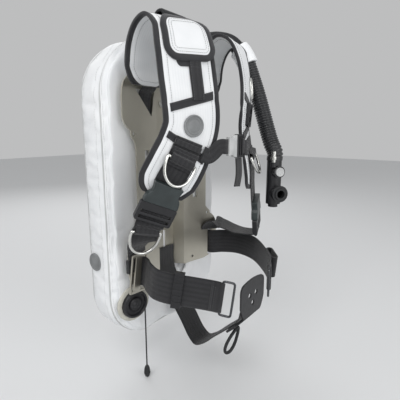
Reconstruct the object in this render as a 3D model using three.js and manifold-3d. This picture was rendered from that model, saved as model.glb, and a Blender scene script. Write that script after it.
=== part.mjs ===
// Buoyancy compensator vest: metal backplate, doughnut wing with its bladder, padded
// two-piece shoulder harness, waist belt with a centre plate, crotch strap and power inflator.
// Millimetres, +Z up. The wearer faces -Y and the wearer's left is +X. The origin is the middle
// of the flat rear face of the wing's centre panel, which lies against the tank.
import * as THREE from 'three';
import { mergeVertices } from 'three/addons/utils/BufferGeometryUtils.js';
import Module from 'manifold-3d';

const wasm = await Module();
wasm.setup();

// ---------------------------------------------------------------- driving dimensions
const GAP = 0.3; // clearance between pieces that touch
const panelThick = 3; // wing centre panel
const plate = {
  thick: 3, halfWidth: 134, neckHalf: 101, top: 183, bottom: -204,
  channelHalf: 38, floorHalf: 27, channelDepth: 22, lean: 0.187,
};
const wing = {
  halfWidth: 153, top: 250, bottom: -315, innerHalf: 46, innerTop: 197, innerBottom: -222,
  topRadius: 112, bottomRadius: 96, innerRadius: 14, wall: 2, bladderWall: 1.2,
  front: -27, rear: 62, seamFront: -13, seamRear: 44,
};
const screw = { hole: 4.5, shank: 4, head: 9, headThick: 2.5, high: 140, low: -100 };
const webbing = { width: 50, thick: 2.4 };
const pad = { width: 84, thick: 9 };
const belt = { width: 55, thick: 3 };
const slot = {
  camX: 70, camWidth: 12, camLow: -57, camHigh: 52, waistX: 112, waistWidth: 9, waistZ: -168, waistHeight: 62,
};
const dump = { x: -113, y: -28.7, z: -236, turn: 8, ring: 35, body: 26.5, neck: 22, travel: 4, pull: 12 };
const valve = { height: 12, lipLow: -16, lipThick: 2.5, bore: 12, cordX: 22, cordY: 7.5 };
const cord = { diameter: 3, endZ: -378 };
const knob = { radius: 6.5, length: 24 };
const elbow = { turn: 30, y: 15, flange: 24, neck: 16, bore: 12, tube: 15 };
const hose = { diameter: 33, sleeve: 43 };
const inflator = { radius: 15, bottom: -62, buttonRadius: 9, purgeRadius: 10, travel: 4 };
const grip = { radius: 15, bore: 9.2, halfLength: 34, y: -36, z: 287, strap: 17, footX: 48, footY: -28.8 };
const ring = { wire: 2.6, width: 58, depth: 46, tilt: -0.22, lowerTilt: -0.45 };
const buckle = { width: 62, waist: 46, high: 37, low: 34, thick: 13, tongue: 42, tongueThick: 6, reach: 20 };
const sternum = { x: 2, y: -180, z: 61, scale: 0.62, width: 25, thick: 2, tail: 51 };
const keeper = { x: -115, z: -169.3, width: 46, height: 72, thick: 3, lift: 8 };
const frame = { width: 26, height: 64, bar: 2.4 };
const centre = { x: -1, y: -224.5, z: -206, width: 82, height: 70, thick: 3 };
const loop = { width: 34, length: 60, wire: 3.4 };

const flatFront = -(panelThick + GAP + plate.thick + plate.channelDepth);
const floorFront = flatFront + plate.channelDepth;
// front face of the plate's forward-leaning flats
const plateFront = (x) => flatFront - (Math.abs(x) - plate.channelHalf) * plate.lean;

// ---------------------------------------------------------------- finishes
const finish = (color, roughness, metalness = 0) =>
  new THREE.MeshStandardMaterial({ color, roughness, metalness });
const taupeMetal = finish(0xa4a196, 0.45, 0.8);
const whiteFabric = finish(0xf2f2f2, 0.7);
const bladderFilm = finish(0x9aa0a4, 0.5);
const blackWebbing = finish(0x1c1c1f, 0.85);
const padFabric = finish(0xe6e6e6, 0.8);
const blackPlastic = finish(0x161618, 0.5);
const buckleGreen = finish(0x242a2b, 0.45);
const greyPlastic = finish(0xc8c8c8, 0.5);
const creamPlastic = finish(0xbfbcae, 0.5);
const blackRubber = finish(0x242527, 0.7);
const brightSteel = finish(0xcfcfcf, 0.2, 1);
const badgeRubber = finish(0x74767a, 0.7);

// ---------------------------------------------------------------- geometry helpers
const group = new THREE.Group();
const v3 = (x, y, z) => new THREE.Vector3(x, y, z);

function add(name, geometry, material) {
  const mesh = new THREE.Mesh(geometry, material);
  mesh.name = name;
  group.add(mesh);
  return mesh;
}

// closed triangle mesh whose faces are turned to point out
function closed(points, triangles) {
  let volume = 0;
  for (const [a, b, c] of triangles) {
    volume += points[a].dot(points[b].clone().cross(points[c]));
  }
  const index = volume < 0 ? triangles.map(([a, b, c]) => [a, c, b]) : triangles;
  const geometry = new THREE.BufferGeometry();
  geometry.setFromPoints(points);
  geometry.setIndex(index.flat());
  return geometry;
}

// skin over equal rings of points; the two ends are capped unless the rings close on themselves
function loft(rings, loops = false) {
  const n = rings[0].length;
  const points = rings.flat();
  const triangles = [];
  const spans = loops ? rings.length : rings.length - 1;
  for (let i = 0; i < spans; i += 1) {
    const next = (i + 1) % rings.length;
    for (let j = 0; j < n; j += 1) {
      const k = (j + 1) % n;
      triangles.push([i * n + j, i * n + k, next * n + k], [i * n + j, next * n + k, next * n + j]);
    }
  }
  if (!loops) {
    const last = (rings.length - 1) * n;
    for (let j = 1; j < n - 1; j += 1) {
      triangles.push([0, j + 1, j], [last, last + j, last + j + 1]);
    }
  }
  return closed(points, triangles);
}

function solid(geometry) {
  const bare = geometry.index ? geometry.clone() : geometry;
  bare.deleteAttribute('normal');
  bare.deleteAttribute('uv');
  const merged = mergeVertices(bare, 1e-4);
  return new wasm.Manifold(new wasm.Mesh({
    numProp: 3,
    vertProperties: new Float32Array(merged.attributes.position.array),
    triVerts: new Uint32Array(merged.index.array),
  }));
}

function geometryOf(manifold) {
  const mesh = manifold.getMesh();
  const geometry = new THREE.BufferGeometry();
  geometry.setAttribute('position', new THREE.BufferAttribute(mesh.vertProperties, 3));
  geometry.setIndex(new THREE.BufferAttribute(mesh.triVerts, 1));
  return geometry;
}

const cut = (body, ...tools) =>
  geometryOf(tools.reduce((rest, tool) => rest.subtract(solid(tool)), solid(body)));
const join = (first, ...others) =>
  geometryOf(others.reduce((all, body) => all.add(solid(body)), solid(first)));

function box(x0, x1, y0, y1, z0, z1) {
  const geometry = new THREE.BoxGeometry(x1 - x0, y1 - y0, z1 - z0);
  return geometry.translate((x0 + x1) / 2, (y0 + y1) / 2, (z0 + z1) / 2);
}

// cylinder between two points
function rod(a, b, radius, sides = 16) {
  const geometry = new THREE.CylinderGeometry(radius, radius, a.distanceTo(b), sides);
  const turn = new THREE.Quaternion().setFromUnitVectors(v3(0, 1, 0), b.clone().sub(a).normalize());
  return geometry.applyQuaternion(turn).translate((a.x + b.x) / 2, (a.y + b.y) / 2, (a.z + b.z) / 2);
}

// lathe about the local Y axis from [radius, height] pairs, listed in either sense
function lathe(profile, sides = 24) {
  const pairs = profile.map(([r, h]) => new THREE.Vector2(r, h));
  return new THREE.LatheGeometry(THREE.ShapeUtils.area(pairs) < 0 ? pairs.reverse() : pairs, sides);
}

// a shape in the local XY plane, pushed along local +Z
const extrude = (shape, depth, curveSegments = 6) =>
  new THREE.ExtrudeGeometry(shape, { depth, bevelEnabled: false, curveSegments });

function tube(points, radius, sides, steps) {
  const section = new THREE.Shape();
  section.absarc(0, 0, radius, 0, Math.PI * 2);
  const path = new THREE.CatmullRomCurve3(points);
  return new THREE.ExtrudeGeometry(section, { steps, extrudePath: path, curveSegments: sides / 2 });
}

function roundedRect(width, height, radius) {
  const [w, h] = [width / 2, height / 2];
  const shape = new THREE.Shape();
  shape.absarc(w - radius, h - radius, radius, 0, Math.PI / 2);
  shape.absarc(-w + radius, h - radius, radius, Math.PI / 2, Math.PI);
  shape.absarc(-w + radius, -h + radius, radius, Math.PI, Math.PI * 1.5);
  shape.absarc(w - radius, -h + radius, radius, Math.PI * 1.5, Math.PI * 2);
  return shape;
}

function rectHole(x0, x1, y0, y1) {
  const hole = new THREE.Path();
  hole.moveTo(x0, y0);
  hole.lineTo(x1, y0);
  hole.lineTo(x1, y1);
  hole.lineTo(x0, y1);
  hole.closePath();
  return hole;
}

// matrix that stands local Y up the strap, against its run, and local Z out from it
function stand(origin, run, out) {
  const y = run.clone().negate().normalize();
  const z = out.clone().addScaledVector(y, -out.dot(y)).normalize();
  return new THREE.Matrix4().makeBasis(y.clone().cross(z), y, z).setPosition(origin);
}

// Strap route. Each row is [x, y, z, across, width]: the middle of the strap, its across
// direction (a vector, or degrees from +X in the level plane) and its width. side mirrors the
// right-hand rows in X.
function route(rows, side = -1, steps = 24) {
  const level = (turn) => v3(1, 0, 0).applyAxisAngle(v3(0, 0, 1), THREE.MathUtils.degToRad(turn));
  const acrossOf = ([, , , across]) => (Array.isArray(across) ? v3(...across) : level(across));
  const curve = new THREE.CatmullRomCurve3(rows.map(([x, y, z]) => v3(x, y, z)), false, 'centripetal');
  const mirror = (vector) => v3(vector.x * -side, vector.y, vector.z);
  return Array.from({ length: steps + 1 }, (_, i) => {
    const at = (i / steps) * (rows.length - 1);
    const low = Math.min(Math.floor(at), rows.length - 2);
    const mix = at - low;
    const tangent = curve.getTangent(i / steps);
    const across = acrossOf(rows[low]).lerp(acrossOf(rows[low + 1]), mix);
    across.addScaledVector(tangent, -across.dot(tangent)).normalize();
    return {
      centre: mirror(curve.getPoint(i / steps)),
      tangent: mirror(tangent),
      across: mirror(across),
      out: mirror(tangent.clone().cross(across)),
      width: THREE.MathUtils.lerp(rows[low][4], rows[low + 1][4], mix),
    };
  });
}

// flat strap along stations, lifted off the route and of its own width and thickness
function ribbon(stations, thick, lift = 0, width = null) {
  return loft(stations.map((s) => {
    const half = (width ?? s.width) / 2;
    const corner = (a, o) => s.centre.clone().addScaledVector(s.across, a * half)
      .addScaledVector(s.out, lift + o * thick / 2);
    return [corner(-1, -1), corner(1, -1), corner(1, 1), corner(-1, 1)];
  }));
}

// closed wire of round section along a flat closed outline
function wireLoop(outline, radius, sides = 8) {
  const n = outline.length;
  return loft(outline.map((point, i) => {
    const along = outline[(i + 1) % n].clone().sub(outline[(i + n - 1) % n]).normalize();
    const inward = v3(0, 0, 1).cross(along);
    return Array.from({ length: sides }, (_, j) => {
      const angle = (j / sides) * Math.PI * 2;
      return point.clone().addScaledVector(inward, Math.cos(angle) * radius)
        .add(v3(0, 0, Math.sin(angle) * radius));
    });
  }), true);
}

// ---------------------------------------------------------------- backplate
function plateOutline() {
  const s = new THREE.Shape();
  const { halfWidth: w, neckHalf: n, top, bottom } = plate;
  s.moveTo(0, top);
  s.lineTo(w - 44, top);
  s.quadraticCurveTo(w, top, w, top - 40);
  s.lineTo(w, top - 74);
  s.quadraticCurveTo(w - 4, top - 88, n + 13, 88);
  s.absarc(106, 82, 8, 0.2, -1.2, true);
  s.quadraticCurveTo(n, 66, n, 50);
  s.lineTo(n, -80);
  s.absarc(106, -97, 8, 1.2, -0.2, true);
  s.quadraticCurveTo(w, -108, w, -134);
  s.lineTo(w, -166);
  s.quadraticCurveTo(w - 4, -200, 96, bottom);
  s.lineTo(0, bottom);
  const right = s.getPoints(5).map(({ x, y }) => new THREE.Vector2(x, y));
  const left = right.slice(1, -1).reverse().map(({ x, y }) => new THREE.Vector2(-x, y));
  return new THREE.Shape([...right, ...left]);
}

function plateSection() {
  const { channelHalf: c, floorHalf: f, halfWidth: w, thick: t } = plate;
  const edge = w + 6;
  const wall = new THREE.Vector2(plate.channelDepth, c - f).normalize(); // normal of the channel wall
  const side = (t * (1 - wall.y)) / wall.x;
  const front = [[-edge, plateFront(edge)], [-c, flatFront], [-f, floorFront], [f, floorFront],
    [c, flatFront], [edge, plateFront(edge)]];
  const lift = t * Math.hypot(1, plate.lean);
  const back = [[edge, plateFront(edge) + lift], [c + side, plateFront(c + side) + lift],
    [f + side, floorFront + t], [-f - side, floorFront + t],
    [-c - side, plateFront(c + side) + lift], [-edge, plateFront(edge) + lift]];
  return new THREE.Shape([...front, ...back].map(([x, y]) => new THREE.Vector2(x, y)));
}

function backplate() {
  const depth = 200;
  const sheet = extrude(plateSection(), plate.top - plate.bottom + 20).translate(0, 0, plate.bottom - 10);
  const blank = extrude(plateOutline(), depth).rotateX(Math.PI / 2).translate(0, depth / 2, 0);
  const through = (x0, x1, z0, z1) => box(x0, x1, -depth / 2, depth / 2, z0, z1);
  const holeAt = (x, z, r) => rod(v3(x, -depth / 2, z), v3(x, depth / 2, z), r, 12);
  const cuts = [through(-4, 4, -172, -121)];
  for (const z of [screw.high, screw.low]) cuts.push(holeAt(0, z, screw.hole));
  for (const side of [-1, 1]) {
    const slotShape = new THREE.Shape([[98, 158], [42, 162], [53, 113]]
      .map(([x, z]) => new THREE.Vector2(x * side, z)));
    const camHalf = slot.camWidth / 2;
    const waistHalf = slot.waistWidth / 2;
    cuts.push(
      extrude(slotShape, depth).rotateX(Math.PI / 2).translate(0, depth / 2, 0),
      through(side * slot.camX - camHalf, side * slot.camX + camHalf, slot.camLow, slot.camHigh),
      through(side * slot.waistX - waistHalf, side * slot.waistX + waistHalf,
        slot.waistZ - slot.waistHeight / 2, slot.waistZ + slot.waistHeight / 2),
      holeAt(side * 106, 82, 3.6), holeAt(side * 106, -97, 3.6), holeAt(side * 62, -192, 3));
  }
  const shaped = solid(sheet).intersect(solid(blank));
  return geometryOf(cuts.reduce((rest, tool) => rest.subtract(solid(tool)), shaped));
}

add('backplate', backplate(), taupeMetal);

// ---------------------------------------------------------------- wing
// points of a rounded rectangle, [x, z], the same count whatever its size
function roundedOutline(half, top, bottom, topRadius, bottomRadius, corner, side) {
  const points = [];
  const arc = (cx, cz, r, from) => {
    for (let i = 0; i <= corner; i += 1) {
      const a = from + (i / corner) * Math.PI / 2;
      points.push([cx + r * Math.cos(a), cz + r * Math.sin(a)]);
    }
  };
  arc(half - topRadius, top - topRadius, topRadius, 0);
  arc(-half + topRadius, top - topRadius, topRadius, Math.PI / 2);
  for (let i = 1; i < side; i += 1) {
    points.push([-half, top - topRadius + (i / side) * (bottom + bottomRadius - top + topRadius)]);
  }
  arc(-half + bottomRadius, bottom + bottomRadius, bottomRadius, Math.PI);
  arc(half - bottomRadius, bottom + bottomRadius, bottomRadius, Math.PI * 1.5);
  for (let i = 1; i < side; i += 1) {
    points.push([half, bottom + bottomRadius - (i / side) * (bottom + bottomRadius - top + topRadius)]);
  }
  return points;
}

// wing tube section: [share of the way out from the inner seam, Y]
const wingSection = [
  [0.0, -2.5], [0.1, -14], [0.32, wing.front], [0.68, wing.front], [0.88, -21], [1, wing.seamFront],
  [1, 16], [0.955, wing.seamRear], [0.78, wing.rear - 4], [0.5, wing.rear], [0.2, 44], [0.03, 16],
];

// the doughnut shrunk all round by inset
function doughnut(inset, corner, side) {
  const w = wing;
  const outer = roundedOutline(w.halfWidth - inset, w.top - inset, w.bottom + inset,
    w.topRadius - inset, w.bottomRadius - inset, corner, side);
  const inner = roundedOutline(w.innerHalf + inset, w.innerTop + inset, w.innerBottom - inset,
    w.innerRadius + inset, w.innerRadius + inset, corner, side);
  const middle = (w.front + w.rear) / 2;
  const squeeze = 1 - (2 * inset) / (w.rear - w.front);
  return loft(outer.map(([ox, oz], i) => {
    const [ix, iz] = inner[i];
    const share = Math.hypot(ox - ix, oz - iz) / (w.halfWidth - w.innerHalf);
    const puff = Math.min(1, 0.35 + 0.65 * share);
    return wingSection.map(([t, y]) => v3(ix + (ox - ix) * t,
      (middle + (y - middle) * squeeze) * (y < 0 ? 1 : puff),
      iz + (oz - iz) * t));
  }), true);
}

const elbowTurn = THREE.MathUtils.degToRad(elbow.turn);
const elbowOut = v3(Math.sin(elbowTurn), 0, Math.cos(elbowTurn));
// middle of the hose port, on the gusset round the wing's top left corner
const elbowAt = v3(wing.halfWidth - wing.topRadius, elbow.y, wing.top - wing.topRadius)
  .addScaledVector(elbowOut, wing.topRadius);
const dumpTurn = THREE.MathUtils.degToRad(dump.turn);
const dumpAcross = v3(Math.cos(dumpTurn), -Math.sin(dumpTurn), 0);
const dumpOut = v3(-Math.sin(dumpTurn), -Math.cos(dumpTurn), 0);
const dumpAt = v3(dump.x, dump.y, dump.z);
const port = (at, out, radius) =>
  rod(at.clone().addScaledVector(out, -25), at.clone().addScaledVector(out, 20), radius, 20);

function hollow(inset, wall, corner, side) {
  return cut(doughnut(inset, corner, side), doughnut(inset + wall, corner, side),
    port(elbowAt, elbowOut, elbow.neck + GAP), port(dumpAt, dumpOut, dump.neck + GAP));
}

add('wing_shell', hollow(0, wing.wall, 4, 2), whiteFabric);
add('air_bladder', hollow(wing.wall + 2 * GAP, wing.bladderWall, 4, 2), bladderFilm);

function centrePanel() {
  const half = wing.innerHalf - GAP;
  const height = wing.innerTop - wing.innerBottom - 2 * GAP;
  const shape = roundedRect(2 * half, height, wing.innerRadius);
  for (const z of [screw.high, screw.low]) {
    const hole = new THREE.Path();
    hole.absarc(0, z - (wing.innerTop + wing.innerBottom) / 2, screw.hole, 0, Math.PI * 2);
    shape.holes.push(hole);
  }
  const panel = extrude(shape, panelThick, 4).rotateX(Math.PI / 2);
  return panel.translate(0, 0, (wing.innerTop + wing.innerBottom) / 2);
}
add('wing_center_panel', centrePanel(), whiteFabric);

// two-sided screws that clamp the wing to the channel floor; heads sunk flush in the panel
function wingScrew(z) {
  const head = rod(v3(0, floorFront - GAP - screw.headThick, z), v3(0, floorFront - GAP, z), screw.head, 18);
  const shank = rod(v3(0, floorFront - GAP - 1, z), v3(0, -0.5, z), screw.shank, 14);
  return join(head, shank);
}
add('wing_screw_upper', wingScrew(screw.high), brightSteel);
add('wing_screw_lower', wingScrew(screw.low), brightSteel);

function badge(radius, thick) {
  const [rim, sunk] = [radius - 2.5, thick - 0.8];
  return lathe([[0, 0], [radius, 0], [radius, thick], [rim, thick], [rim, sunk], [0, sunk]], 20);
}
const wingBadge = badge(17, 2.6).rotateZ(Math.PI / 2).translate(-wing.halfWidth - GAP, 25, -154);
add('wing_badge', wingBadge, badgeRubber);

// ---------------------------------------------------------------- dump valve
// valve frame: local X across, local Y out of the wing, local Z down
const onValve = (geometry) => geometry.applyMatrix4(
  new THREE.Matrix4().makeBasis(dumpAcross, dumpOut, v3(0, 0, -1)).setPosition(dumpAt));

function dumpFlange() {
  const { ring: r, body: b, neck: n } = dump;
  const { bore, lipLow: low, lipThick: thick } = valve;
  return lathe([[bore, low], [n, low], [n, 0], [r, 0], [r, 2.5], [r - 3, 4.5], [b + GAP, 4.5], [b + GAP, 2],
    [n - 3, 2], [n - 3, low + thick], [bore, low + thick], [bore, low]], 20);
}
add('dump_flange', onValve(dumpFlange()), creamPlastic);

function dumpBody() {
  const b = dump.body;
  const cup = lathe([[0, valve.height - 3], [b - 5, valve.height - 3], [b - 5, 2 + GAP], [b, 2 + GAP],
    [b, valve.height - 2], [b - 3, valve.height], [0, valve.height]], 20);
  const { cordX: x, cordY: y } = valve;
  const guide = rod(v3(x, y, -8), v3(x, y, 30), cord.diameter / 2 + 0.7, 12);
  return cut(cup, guide);
}
add('dump_body', onValve(dumpBody()), blackPlastic);

const poppetTop = valve.lipLow + valve.lipThick + GAP + 2.2;
const poppet = lathe([[0, poppetTop - 2.2], [valve.bore + 4, poppetTop - 2.2], [valve.bore + 4, poppetTop],
  [3, poppetTop], [3, -2], [0, -2]], 20);
add('dump_poppet', onValve(poppet), blackRubber);
const springEnds = [poppetTop + GAP, valve.height - 3 - GAP];
const spring = lathe([[8, springEnds[0]], [10, springEnds[0]], [10, springEnds[1]], [8, springEnds[1]],
  [8, springEnds[0]]], 16);
add('dump_spring', onValve(spring), brightSteel);

// free pull cord: straight down out of the valve body, ending in the knob
const cordLine = dumpAt.clone().addScaledVector(dumpAcross, valve.cordX)
  .addScaledVector(dumpOut, valve.cordY);
const cordTop = dump.z - 2;
const knobTop = cord.endZ - GAP;
const cordPoints = Array.from({ length: 16 }, (_, i) =>
  v3(cordLine.x, cordLine.y, THREE.MathUtils.lerp(cordTop, cord.endZ, i / 15)));
add('dump_cord', tube(cordPoints, cord.diameter / 2, 8, 15), blackWebbing);
const knobShape = lathe([[0, 0], [2.6, 0], [knob.radius - 1, -8], [knob.radius, -16],
  [knob.radius - 2, -knob.length], [0, -knob.length]], 14);
add('dump_knob', knobShape.rotateX(Math.PI / 2).translate(cordLine.x, cordLine.y, knobTop), blackRubber);

// ---------------------------------------------------------------- hose and inflator
const elbowAcross = v3(0, 1, 0);
const portBasis = new THREE.Matrix4()
  .makeBasis(elbowAcross.clone().cross(elbowOut), elbowOut, elbowAcross.clone().negate());
const portFrame = (geometry) => geometry.applyMatrix4(portBasis.clone().setPosition(elbowAt));
const collar = 9;
const elbowFlange = lathe([[elbow.bore, -14], [elbow.neck, -14], [elbow.neck, GAP], [elbow.flange, GAP],
  [elbow.flange, 3], [elbow.neck + 2, 3], [elbow.neck + 2, collar], [elbow.bore, collar],
  [elbow.bore, -14]], 18);
add('elbow_flange', portFrame(elbowFlange), blackPlastic);
const elbowStart = elbowAt.clone().addScaledVector(elbowOut, collar + GAP);
const hoseJoint = v3(143, -91, 257); // where the hose is clamped on the elbow's spigot
const hoseRun = v3(0.18, -0.66, -0.73).normalize();
const beyond = (distance) => hoseJoint.clone().addScaledVector(hoseRun, distance);
const elbowPoints = [elbowStart, elbowStart.clone().addScaledVector(elbowOut, 10), v3(119, -8, 273),
  v3(127, -38, 280), v3(136, -67, 275), beyond(-14), beyond(0)];
add('elbow', tube(elbowPoints, elbow.tube, 12, 16), blackRubber);
const hosePoints = [beyond(0.8), beyond(15), v3(149, -115, 220), v3(150, -128, 188), v3(149, -141, 156),
  v3(147.5, -153, 124), v3(145, -166, 90), v3(142, -178, 62), v3(140, -188, 44), v3(140, -188, 28)];
const hoseCurve = new THREE.CatmullRomCurve3(hosePoints);
add('corrugated_hose', tube(hosePoints, hose.diameter / 2, 12, 16), blackRubber);
// fabric sleeve wrapped round the hose's upper stretch
const hoseStretch = (from, to) => Array.from({ length: 5 }, (_, i) =>
  hoseCurve.getPointAt(THREE.MathUtils.lerp(from, to, i / 4)));
add('hose_sleeve', cut(tube(hoseStretch(0.02, 0.17), hose.sleeve / 2, 16, 5),
  tube(hoseStretch(0.002, 0.2), hose.diameter / 2 + 0.8, 16, 7)), padFabric);

const hoseEnd = hosePoints[hosePoints.length - 1];
const core = v3(hoseEnd.x, hoseEnd.y, 0); // the inflator's upright axis
const face = v3(-0.6, -0.8, 0); // the way its buttons and mouthpiece face
const outFrom = (z, distance) => core.clone().addScaledVector(face, distance).setZ(z);
const buttonZ = 6;
const mouthZ = -38;
const nippleAt = core.clone().addScaledVector(face, 20).addScaledVector(v3(0.8, -0.6, 0), -12);
const armTop = 25;
const wellFloor = 16; // floor of the inflate button's well, out from the axis
const pitDepth = 9; // depth of the purge button's pit
function inflatorBody() {
  const [foot, head] = [inflator.bottom, hoseEnd.z - GAP].map((z) => core.clone().setZ(z));
  const barrel = rod(foot, head, inflator.radius, 18);
  const boss = rod(outFrom(buttonZ, 0), outFrom(buttonZ, 24), inflator.buttonRadius + 3, 18);
  const mouthBoss = rod(outFrom(mouthZ, 0), outFrom(mouthZ, 20), 13, 18);
  const arm = rod(core.clone().setZ(armTop - 5), nippleAt.clone().setZ(armTop - 5), 4, 14);
  const seat = rod(nippleAt.clone().setZ(armTop - 9), nippleAt.clone().setZ(armTop), 6, 14);
  const body = [boss, mouthBoss, arm, seat].reduce((all, b) => all.add(solid(b)), solid(barrel));
  const well = rod(outFrom(buttonZ, wellFloor), outFrom(buttonZ, 30), inflator.buttonRadius + 0.5, 18);
  const throat = rod(outFrom(mouthZ, 8), outFrom(mouthZ, 30), 9, 14);
  const pit = rod(core.clone().setZ(inflator.bottom - 1), core.clone().setZ(inflator.bottom + pitDepth),
    inflator.purgeRadius + 0.5, 18);
  return geometryOf([well, throat, pit].reduce((rest, tool) => rest.subtract(solid(tool)), body));
}
add('inflator_body', inflatorBody(), blackPlastic);
const button = (a, b, radius) => rod(a, b, radius, 18);
add('inflate_button', button(outFrom(buttonZ, wellFloor + GAP + inflator.travel), outFrom(buttonZ, 28),
  inflator.buttonRadius), greyPlastic);
add('deflate_button', button(core.clone().setZ(inflator.bottom - 7),
  core.clone().setZ(inflator.bottom + pitDepth - GAP - inflator.travel), inflator.purgeRadius), blackPlastic);
function mouthpiece() {
  const ringOf = (radius, from, to) => rod(outFrom(mouthZ, from), outFrom(mouthZ, to), radius, 18);
  return cut(join(ringOf(12, 20 + GAP, 34), ringOf(17, 26, 31)), ringOf(8, 10, 40));
}
add('mouthpiece', mouthpiece(), blackRubber);
const nipple = (from, to, radius) =>
  rod(nippleAt.clone().setZ(armTop + from), nippleAt.clone().setZ(armTop + to), radius, 14);
add('lp_nipple', join(nipple(GAP, 22, 4.5), nipple(6, 12, 6)), brightSteel);

// ---------------------------------------------------------------- shoulder harness
const shoulderRows = [
  [-84, -55, 162, 0, 56], [-84, -57, 190, 0, 82], [-84, -66, 226, -4, 80], [-84, -84, 250, -8, 78],
  [-84, -106, 257, -12, 78], [-84, -128, 244, -16, 80], [-86, -141, 212, -20, 84], [-86, -148, 170, -22, 84],
  [-82, -151, 128, -22, 84], [-80, -150, 95, -22, 84],
];
// below the chest the right strap swings back to the plate and the left one hangs forward
const chestRows = {
  right: [[-88, -143, 62, -24, 84], [-100, -133, 30, -28, 86], [-109, -122, 5, -32, 84],
    [-112, -111, -18, -34, 60]],
  left: [[-86, -151, 62, -22, 82], [-95, -152, 30, -22, 80], [-103, -151, 4, -22, 74],
    [-108, -149, -18, -22, 54], [-112, -148, -36, -22, 50], [-116, -147, -52, -22, 50]],
};
const lowerRows = {
  right: [[-131, -89, -80, -34], [-130, -79, -100, -30], [-119, -62, -112, 4]],
  left: [[-128, -124, -131, -24], [-130, -106, -131, -10], [-130, -88, -128, -4], [-125, -70, -122, 2],
    [-116, -57, -117.5, 10.6]],
};
// both straps end flat on the front of the plate's lower flats
const lowerEnd = [[-113.5, -120.5, 7], [-113, -127.5, 1.6], [-112, -137, 0.4]].map(([x, z, off]) =>
  [x, plateFront(x) - GAP - webbing.thick / 2 - off, z, 10.6]);
const perRow = 3; // stations to each row of the harness route
const padEnd = 13 * perRow;
const strapStart = 29;
const strapEnd = { right: 12 * perRow, left: 15 * perRow };
const strapGap = 0.6;
const onPad = pad.thick / 2 + strapGap + webbing.thick / 2; // middle of a strap that lies on the pad
const pads = {};
for (const side of [-1, 1]) {
  const name = side < 0 ? 'right' : 'left';
  const rows = [...shoulderRows, ...chestRows[name]];
  const stations = route(rows, side, (rows.length - 1) * perRow);
  pads[name] = stations;
  add(`shoulder_pad_${name}`, ribbon(stations.slice(0, padEnd + 1), pad.thick), padFabric);
  add(`pad_webbing_${name}`, ribbon(stations.slice(strapStart, strapEnd[name] + 1), webbing.thick, onPad,
    webbing.width), blackWebbing);
  const back = route([[-70, -48.6, 181, 0, 34], [-70, -48.2, 172, 0, 34], [-69, -43, 161, 0, 34],
    [-68, -33, 153.5, 6, 34], [-67.5, -28.9, 141, 10.6, 34], [-68, -29, 118, 10.6, 34]], side, 12);
  add(`back_webbing_${name}`, ribbon(back, webbing.thick), blackWebbing);
}

// D-ring in its own frame: bar along X at y = 0, bow hanging towards -Y
function dRing(width, depth) {
  const half = width / 2 - ring.wire;
  const drop = depth - ring.wire * 2;
  const outline = [-1, -0.5, 0, 0.5].map((t) => v3(half * t, 0, 0));
  for (let i = 0; i <= 10; i += 1) {
    const angle = (i / 10) * Math.PI;
    outline.push(v3(half * Math.cos(angle), -drop * Math.sin(angle) ** 0.8, 0));
  }
  return wireLoop(outline, ring.wire, 6);
}

// flat metal or plastic slide in its own frame: outer size, bar widths across and its thickness
function slide(width, height, thick, holes) {
  const shape = roundedRect(width, height, 3);
  for (const [x0, x1, y0, y1] of holes) shape.holes.push(rectHole(x0, x1, y0, y1));
  return extrude(shape, thick, 2).translate(0, 0, -thick / 2);
}

// side-release buckle, local Y up the strap, joint between its halves at y = 0
function buckleFemale(k = 1) {
  const { width, waist, high, thick, tongue, tongueThick, reach } = buckle;
  const shape = new THREE.Shape();
  shape.moveTo(-width * k / 2, 0);
  shape.lineTo(width * k / 2, 0);
  shape.quadraticCurveTo(width * k / 2, high * k * 0.45, waist * k / 2, high * k * 0.55);
  shape.quadraticCurveTo(waist * k / 2, high * k * 0.75, waist * k / 2 + 3 * k, high * k);
  shape.lineTo(-waist * k / 2 - 3 * k, high * k);
  shape.quadraticCurveTo(-waist * k / 2, high * k * 0.75, -waist * k / 2, high * k * 0.55);
  shape.quadraticCurveTo(-width * k / 2, high * k * 0.45, -width * k / 2, 0);
  const shell = extrude(shape, thick * k, 4).translate(0, 0, -thick * k / 2);
  const half = tongue * k / 2 + GAP;
  const flat = tongueThick * k / 2 + GAP;
  return cut(shell, box(-half, half, -1, reach * k + GAP, -flat, flat));
}
function buckleMale(k = 1) {
  const { width, low, thick, tongue, tongueThick, reach } = buckle;
  const frame = roundedRect((width + 4) * k, low * k, 4 * k);
  const inner = width * k / 2 - 4 * k;
  frame.holes.push(rectHole(-inner, inner, -low * k * 0.05, low * k * 0.1));
  frame.holes.push(rectHole(-inner, inner, -low * k * 0.36, -low * k * 0.2));
  const body = extrude(frame, (thick - 3) * k, 3).translate(0, -low * k / 2 - GAP, -(thick - 3) * k / 2);
  const half = tongue * k / 2;
  const prongs = box(-half, half, -low * k * 0.2, reach * k, -tongueThick * k / 2, tongueThick * k / 2);
  const gap = box(-half + 7 * k, -5 * k, 2, reach * k + 1, -thick, thick);
  const gapMirror = box(5 * k, half - 7 * k, 2, reach * k + 1, -thick, thick);
  return cut(join(body, prongs), gap, gapMirror);
}

// places a piece made in its own frame at a strap station, lifted off the strap's middle
function atStation(geometry, station, lift, along = 0) {
  const origin = station.centre.clone().addScaledVector(station.out, lift)
    .addScaledVector(station.tangent, along);
  return geometry.applyMatrix4(stand(origin, station.tangent, station.out));
}

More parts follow.
